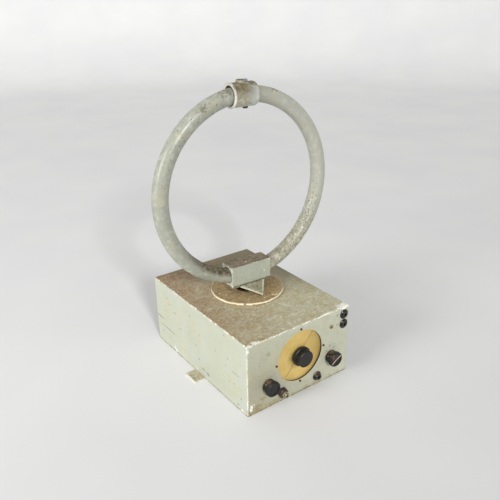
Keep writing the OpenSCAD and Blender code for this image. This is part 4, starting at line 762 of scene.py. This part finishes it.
bead = add(tree, "Math", {0: bead, 1: outer}, operation="MULTIPLY")
end = add(tree, "MapRange", {0: parts[0], 1: 20.4, 2: 21.2})
worn = add(tree, "Math", {0: bead, 1: end}, operation="MAXIMUM")
chips = patches(tree, place, 3.5, 0.4, 0.65, 5, worn)
bore_dirt_and_shade = add(tree, "MapRange", {0: from_axis, 1: bore_radius + 0.4, 2: bore_radius})
outside = add(tree, "MapRange", {0: bore_dirt_and_shade, 3: 1, 4: 0})
chips = add(tree, "Math", {0: chips, 1: outside}, operation="MULTIPLY")
# The bore is darkened with the dirt colours, partly dirt and partly painted shade in the gap round the tube
bore_dirt_and_shade = add(tree, "Math", {0: bore_dirt_and_shade, 1: 0.6}, operation="MULTIPLY")
dirt = add(tree, "Math", {0: dirt, 1: bore_dirt_and_shade}, operation="MAXIMUM")
age_paint(tree, shader, place, coat, grain, dirt, chips, ("#4c4029", "#7d7050"), 0.3,
          ("#eae9de", "#bfbeb0"), 0.34)
put_on(collar_paint, "loop_collar")
rough_copy("cast_collar", "loop_collar", "loop", 0.7, ((1.8, 0.3), (8, 0.5)))
put_on(plain_finish("turned_paxolin_bush", "#3f3022", "#5a4531", 2.2, 0.45, 0.0, (3, 0.3, 0.3)),
       "collar_insulator")

# Zinc-plated screws: the upper one is bluish and bright, the lower one under the collar is coloured dark
# brown
zinc, tree, shader, place = start_finish("zinc_collar_screws", 0.3, 1.0)
height = add(tree, "SeparateXYZ", {0: place}).node.outputs[2]
dark = patches(tree, place, 2, 0.3, 0.7)
dark = add(tree, "Math", {0: dark, 1: -30, 2: height}, operation="MULTIPLY_ADD")
dark = add(tree, "MapRange", {0: dark, 1: 452, 2: 446})
tone = tinted(tree, dark, "#b7c9d3", "#4b4034")
join(tree, shader, tone, (dark, 0.3, 0.7), (dark, 1, 0.2))
put_on(zinc, "collar_screws")

# The dial plate
# Sheet metal stove-enamelled cream, long since gone to a golden yellow, with painted shade at its right
# rim.
enamel, tree, shader, place = start_finish("yellowed_dial_enamel", 0.42)
where = add(tree, "SeparateXYZ", {0: place}).node.outputs
aged = patches(tree, place, 22, 0.3, 0.7)
tone = tinted(tree, aged, "#c4a55c", "#d3b86e")
# Painted shade darkens the dial towards its right rim, beside the window's wall
edge = add(tree, "MapRange", {0: where[0], 1: 14, 2: 44, 4: 0.75})
tone = tinted(tree, edge, tone, "#9c8049")
# A painted shadow of the knob on the dial at its left, joined to a darker stain at its lower left
knob_shadow_and_stain = placed_marks(tree, place, [
    ((-14, -140, 70), (11, 5, 15)), ((-6, -140, 58), (15, 5, 11)),
], 0.6, 9, 0)
tone = tinted(tree, knob_shadow_and_stain, tone, "#6e5a2e", 0.6)
specks = patches(tree, place, 1.4, 0.68, 0.72, 3)
tone = tinted(tree, specks, tone, "#8d7440", 0.5)
join(tree, shader, tone, (aged, 0.36, 0.5), None, (aged, 0.2, 0.4))
put_on(enamel, "dial_plate")
put_on(plain_finish("turned_brass_spacers", "#8d6c36", "#b3925a", 1.5, 0.32, 1.0), "dial_spacers")
put_on(rusty_steel("rusty_dial_screws", "#4a4038", "#2b1e17", 0.2, 0.45), "dial_screws")

# The cursor
# A thin brass wire on a round hub, painted brown, which sweeps across the dial.
put_on(plain_finish("golden_cursor_wire", "#a98f55", "#c2a768", 1.2, 0.5), "dial_cursor")

# The ball drive and the tuning capacitor
# The knob's shaft rolls steel balls inside a brass body, six turns to one of the capacitor. Its
# vanes are thin aluminium, dull and slightly dusty.
put_on(plain_finish("machined_drive_brass", "#84652f", "#b08f55", 1.5, 0.3, 1.0, (1, 3, 1)), "drive_body")
put_on(plain_finish("ground_steel", "#85827e", "#b4b2ae", 1.2, 0.25, 1.0, (1, 3, 1)),
       "drive_shaft", "drive_sleeve", "drive_balls")
put_on(plain_finish("dusty_vane_aluminium", "#a2a3a2", "#c0c1c0", 2.5, 0.42, 1.0),
       "capacitor_stator", "capacitor_rotor")

# The knobs
# Moulded in black bakelite that has lost its gloss and holds grey dust in the flutes. Bright
# steel grub screws hold them on their shafts.


def bakelite(name, black="#0b0a0a", dust="#221f1d", gloss=0.4):
    """Starts dulled black bakelite with dust in the low places. Returns its colour for marks on top."""
    material, tree, shader, place = start_finish(name, 0.45)
    dusty = patches(tree, place, 4, 0.45, 0.8, 5)
    tone = tinted(tree, dusty, black, dust)
    join(tree, shader, tone, (dusty, gloss, 0.62), None, (dusty, 0.1, 0.5))
    return material, tree, shader, place, tone


knob_black = bakelite("dulled_black_bakelite")[0]
put_on(knob_black, "tuning_knob")
knob_brown, tree, shader, place, tone = bakelite("brown_edged_bakelite")
faded = placed_marks(tree, place, [
    ((-70, -150, 55), (12, 8, 8)), ((-58, -153, 56), (7, 6, 5)),
], 1.4, 4, 0.1)
join(tree, shader, tinted(tree, faded, tone, "#6a5540", 0.85))
put_on(knob_brown, "volume_knob")

# The range knob's face is worn brown at the upper left, and its pointer groove is filled pale pink
range_black, tree, shader, place, tone = bakelite("range_knob_bakelite")
worn = placed_marks(tree, place, [((59, -157, 50), (5, 6, 4)), ((64, -150, 56), (8, 6, 4))], 2.2, 3, 0.3)
tone = tinted(tree, worn, tone, "#7a5f48", 0.85)
knob_face, groove_turn, groove_reach, groove_depth = (65, -160, 43.5), -30, 10.8, 2.2
links = {"Vector": place, "Location": knob_face, "Rotation": (0, math.radians(groove_turn), 0)}
local = add(tree, "Mapping", links, vector_type="TEXTURE")
shape = add(tree, "VectorMath", {0: local}, operation="ABSOLUTE")
parts = add(tree, "SeparateXYZ", {0: shape}).node.outputs
long = add(tree, "Math", {0: parts[0], 1: groove_reach}, operation="LESS_THAN")
thin = add(tree, "MapRange", {0: parts[2], 1: 0.95, 2: 0.75})
deep = add(tree, "Math", {0: parts[1], 1: groove_depth}, operation="LESS_THAN")
groove = add(tree, "Math", {0: long, 1: thin}, operation="MULTIPLY")
groove = add(tree, "Math", {0: groove, 1: deep}, operation="MULTIPLY")
groove = patches(tree, place, 3, 0.3, 0.45, 4, groove)
join(tree, shader, tinted(tree, groove, tone, "#d8b7a2"))
put_on(range_black, "range_knob")
put_on(plain_finish("bright_grub_screws", "#a7a49c", "#d4d1c8", 1, 0.3, 1.0),
       "tuning_knob_screw", "volume_knob_screw", "range_knob_screw")

# The volume control and the range switch
# A cadmium-plated can with an aluminium shaft, and a switch of paxolin wafers, each held by a nut.
put_on(plain_finish("cadmium_plated_can", "#8b8a7c", "#a9a893", 5, 0.42, 1.0), "volume_control")
put_on(plain_finish("control_shaft_aluminium", "#a4a6a7", "#c4c6c7", 1.5, 0.33, 1.0, (1, 3, 1)),
       "volume_shaft", "switch_rotor")
put_on(plain_finish("switch_wafer_paxolin", "#6e4524", "#8b5c33", 2.4, 0.5, 0.0, (0.3, 3, 0.3)),
       "range_switch")
put_on(rusty_steel("nickel_plated_nuts", "#97958c", "#4d3b2c", 0.5, 0.65), "control_nuts")

# The phone sockets and the earth socket
# Black bakelite bushings through the front, lined with brass. The earth socket has browned on top.
socket_black, tree, shader, place, tone = bakelite("socket_bakelite", "#111010", "#3a3733", 0.24)
browned = placed_marks(tree, place, [((35, -146, 24), (7, 8, 4))], 1.4, 3, 0.2)
join(tree, shader, tinted(tree, browned, tone, "#76503a", 0.9))
put_on(socket_black, "phone_sockets", "earth_socket")
# The liners are coloured dark brown, partly tarnish and partly painted shade inside the socket holes
put_on(plain_finish("dull_socket_brass", "#3d3020", "#5f4d2f", 1.5, 0.45, 1.0), "socket_liners")

# The aerial terminal
# A brown moulded collar that insulates a nickel-plated ferrule, whose plating has gone greenish.
put_on(plain_finish("brown_moulded_collar", "#2a1d17", "#4a3226", 4, 0.45), "aerial_terminal")
ferrule, tree, shader, place = start_finish("greened_nickel_plate", 0.35, 1.0)
bloom = patches(tree, place, 2.6, 0.4, 0.62, 5)
tone = tinted(tree, bloom, "#b3ad93", "#7f7c5a")
join(tree, shader, tone, (bloom, 0.28, 0.6), (bloom, 1, 0.5))
put_on(ferrule, "aerial_ferrule")

# The floor
# A seamless sweep of pale grey paper that turns up all round, far outside the views.
flat_radius, bend_radius, bend_steps = 3.2, 1.2, 8
bpy.ops.mesh.primitive_circle_add(vertices=96, radius=flat_radius, fill_type="NGON")
floor = bpy.context.object
floor.name = "paper_sweep"
bpy.ops.object.mode_set(mode="EDIT")
for step in range(bend_steps):
    angles = [s * math.pi / 2 / bend_steps for s in (step, step + 1)]
    reach = [flat_radius + bend_radius * math.sin(a) for a in angles]
    grow = reach[1] / reach[0]
    rise = bend_radius * (math.cos(angles[0]) - math.cos(angles[1]))
    bpy.ops.mesh.select_mode(type="EDGE")
    bpy.ops.mesh.select_all(action="DESELECT")
    mesh = bmesh.from_edit_mesh(floor.data)
    for edge in mesh.edges:
        edge.select = edge.is_boundary or step == 0
    bmesh.update_edit_mesh(floor.data)
    bpy.ops.mesh.extrude_edges_move(TRANSFORM_OT_translate={"value": (0, 0, rise)})
    bpy.ops.transform.resize(value=(grow, grow, 1), center_override=(0, 0, 0))
bpy.ops.mesh.extrude_edges_move(TRANSFORM_OT_translate={"value": (0, 0, 0.6)})
bpy.ops.object.mode_set(mode="OBJECT")
bpy.ops.object.shade_smooth()
paper, tree, shader, place = start_finish("pale_paper", 0.85)
shader.inputs["Specular IOR Level"].default_value = 0.2
tone = patches(tree, place, 400, 0.3, 0.7, 2)
join(tree, shader, tinted(tree, tone, "#dadada", "#e0e0df"))
floor.data.materials.append(paper)

# The lights
# A large soft box stands on the left, a smaller lamp high in front throws the ring's faint shadow
# on the paper behind, and the room fills the rest.
bpy.context.scene.view_settings.view_transform = "Standard"
world = bpy.data.worlds.new("even_room")
world.use_nodes = True
world.node_tree.nodes["Background"].inputs["Color"].default_value = (1, 1, 1, 1)
world.node_tree.nodes["Background"].inputs["Strength"].default_value = 0.48
bpy.context.scene.world = world
middle = Vector((0, 0, 0.15))
soft_box = bpy.data.lights.new("left_soft_box", "AREA")
soft_box.shape = "DISK"
soft_box.size = 1.4
soft_box.energy = 64
fill = bpy.data.lights.new("front_lamp", "SUN")
fill.angle = math.radians(9)
fill.energy = 1.95
for lamp, stand in ((soft_box, (-3.0, -0.2, 1.3)), (fill, (-1.0, -3.7, 2.1))):
    holder = bpy.data.objects.new(lamp.name, lamp)
    bpy.context.scene.collection.objects.link(holder)
    holder.location = stand
    holder.rotation_euler = (Vector(stand) - middle).to_track_quat("Z", "Y").to_euler()

# The camera
# It stands in front on the left and looks down at the set. Its place and its axes were worked out
# from the case's corners and the ring's outline.
camera = bpy.data.cameras.new("camera")
camera.lens = 41.78
camera.sensor_width = 36
viewer = bpy.data.objects.new("camera", camera)
bpy.context.scene.collection.objects.link(viewer)
right = Vector((0.8091, -0.5875, -0.0154))
upward = Vector((0.2521, 0.3233, 0.9121))
forward = Vector((0.5309, 0.7418, -0.4097))
turned = Matrix((right, upward, -forward)).transposed().to_4x4()
viewer.matrix_world = Matrix.Translation((-0.5104, -0.7248, 0.6009)) @ turned
bpy.context.scene.camera = viewer
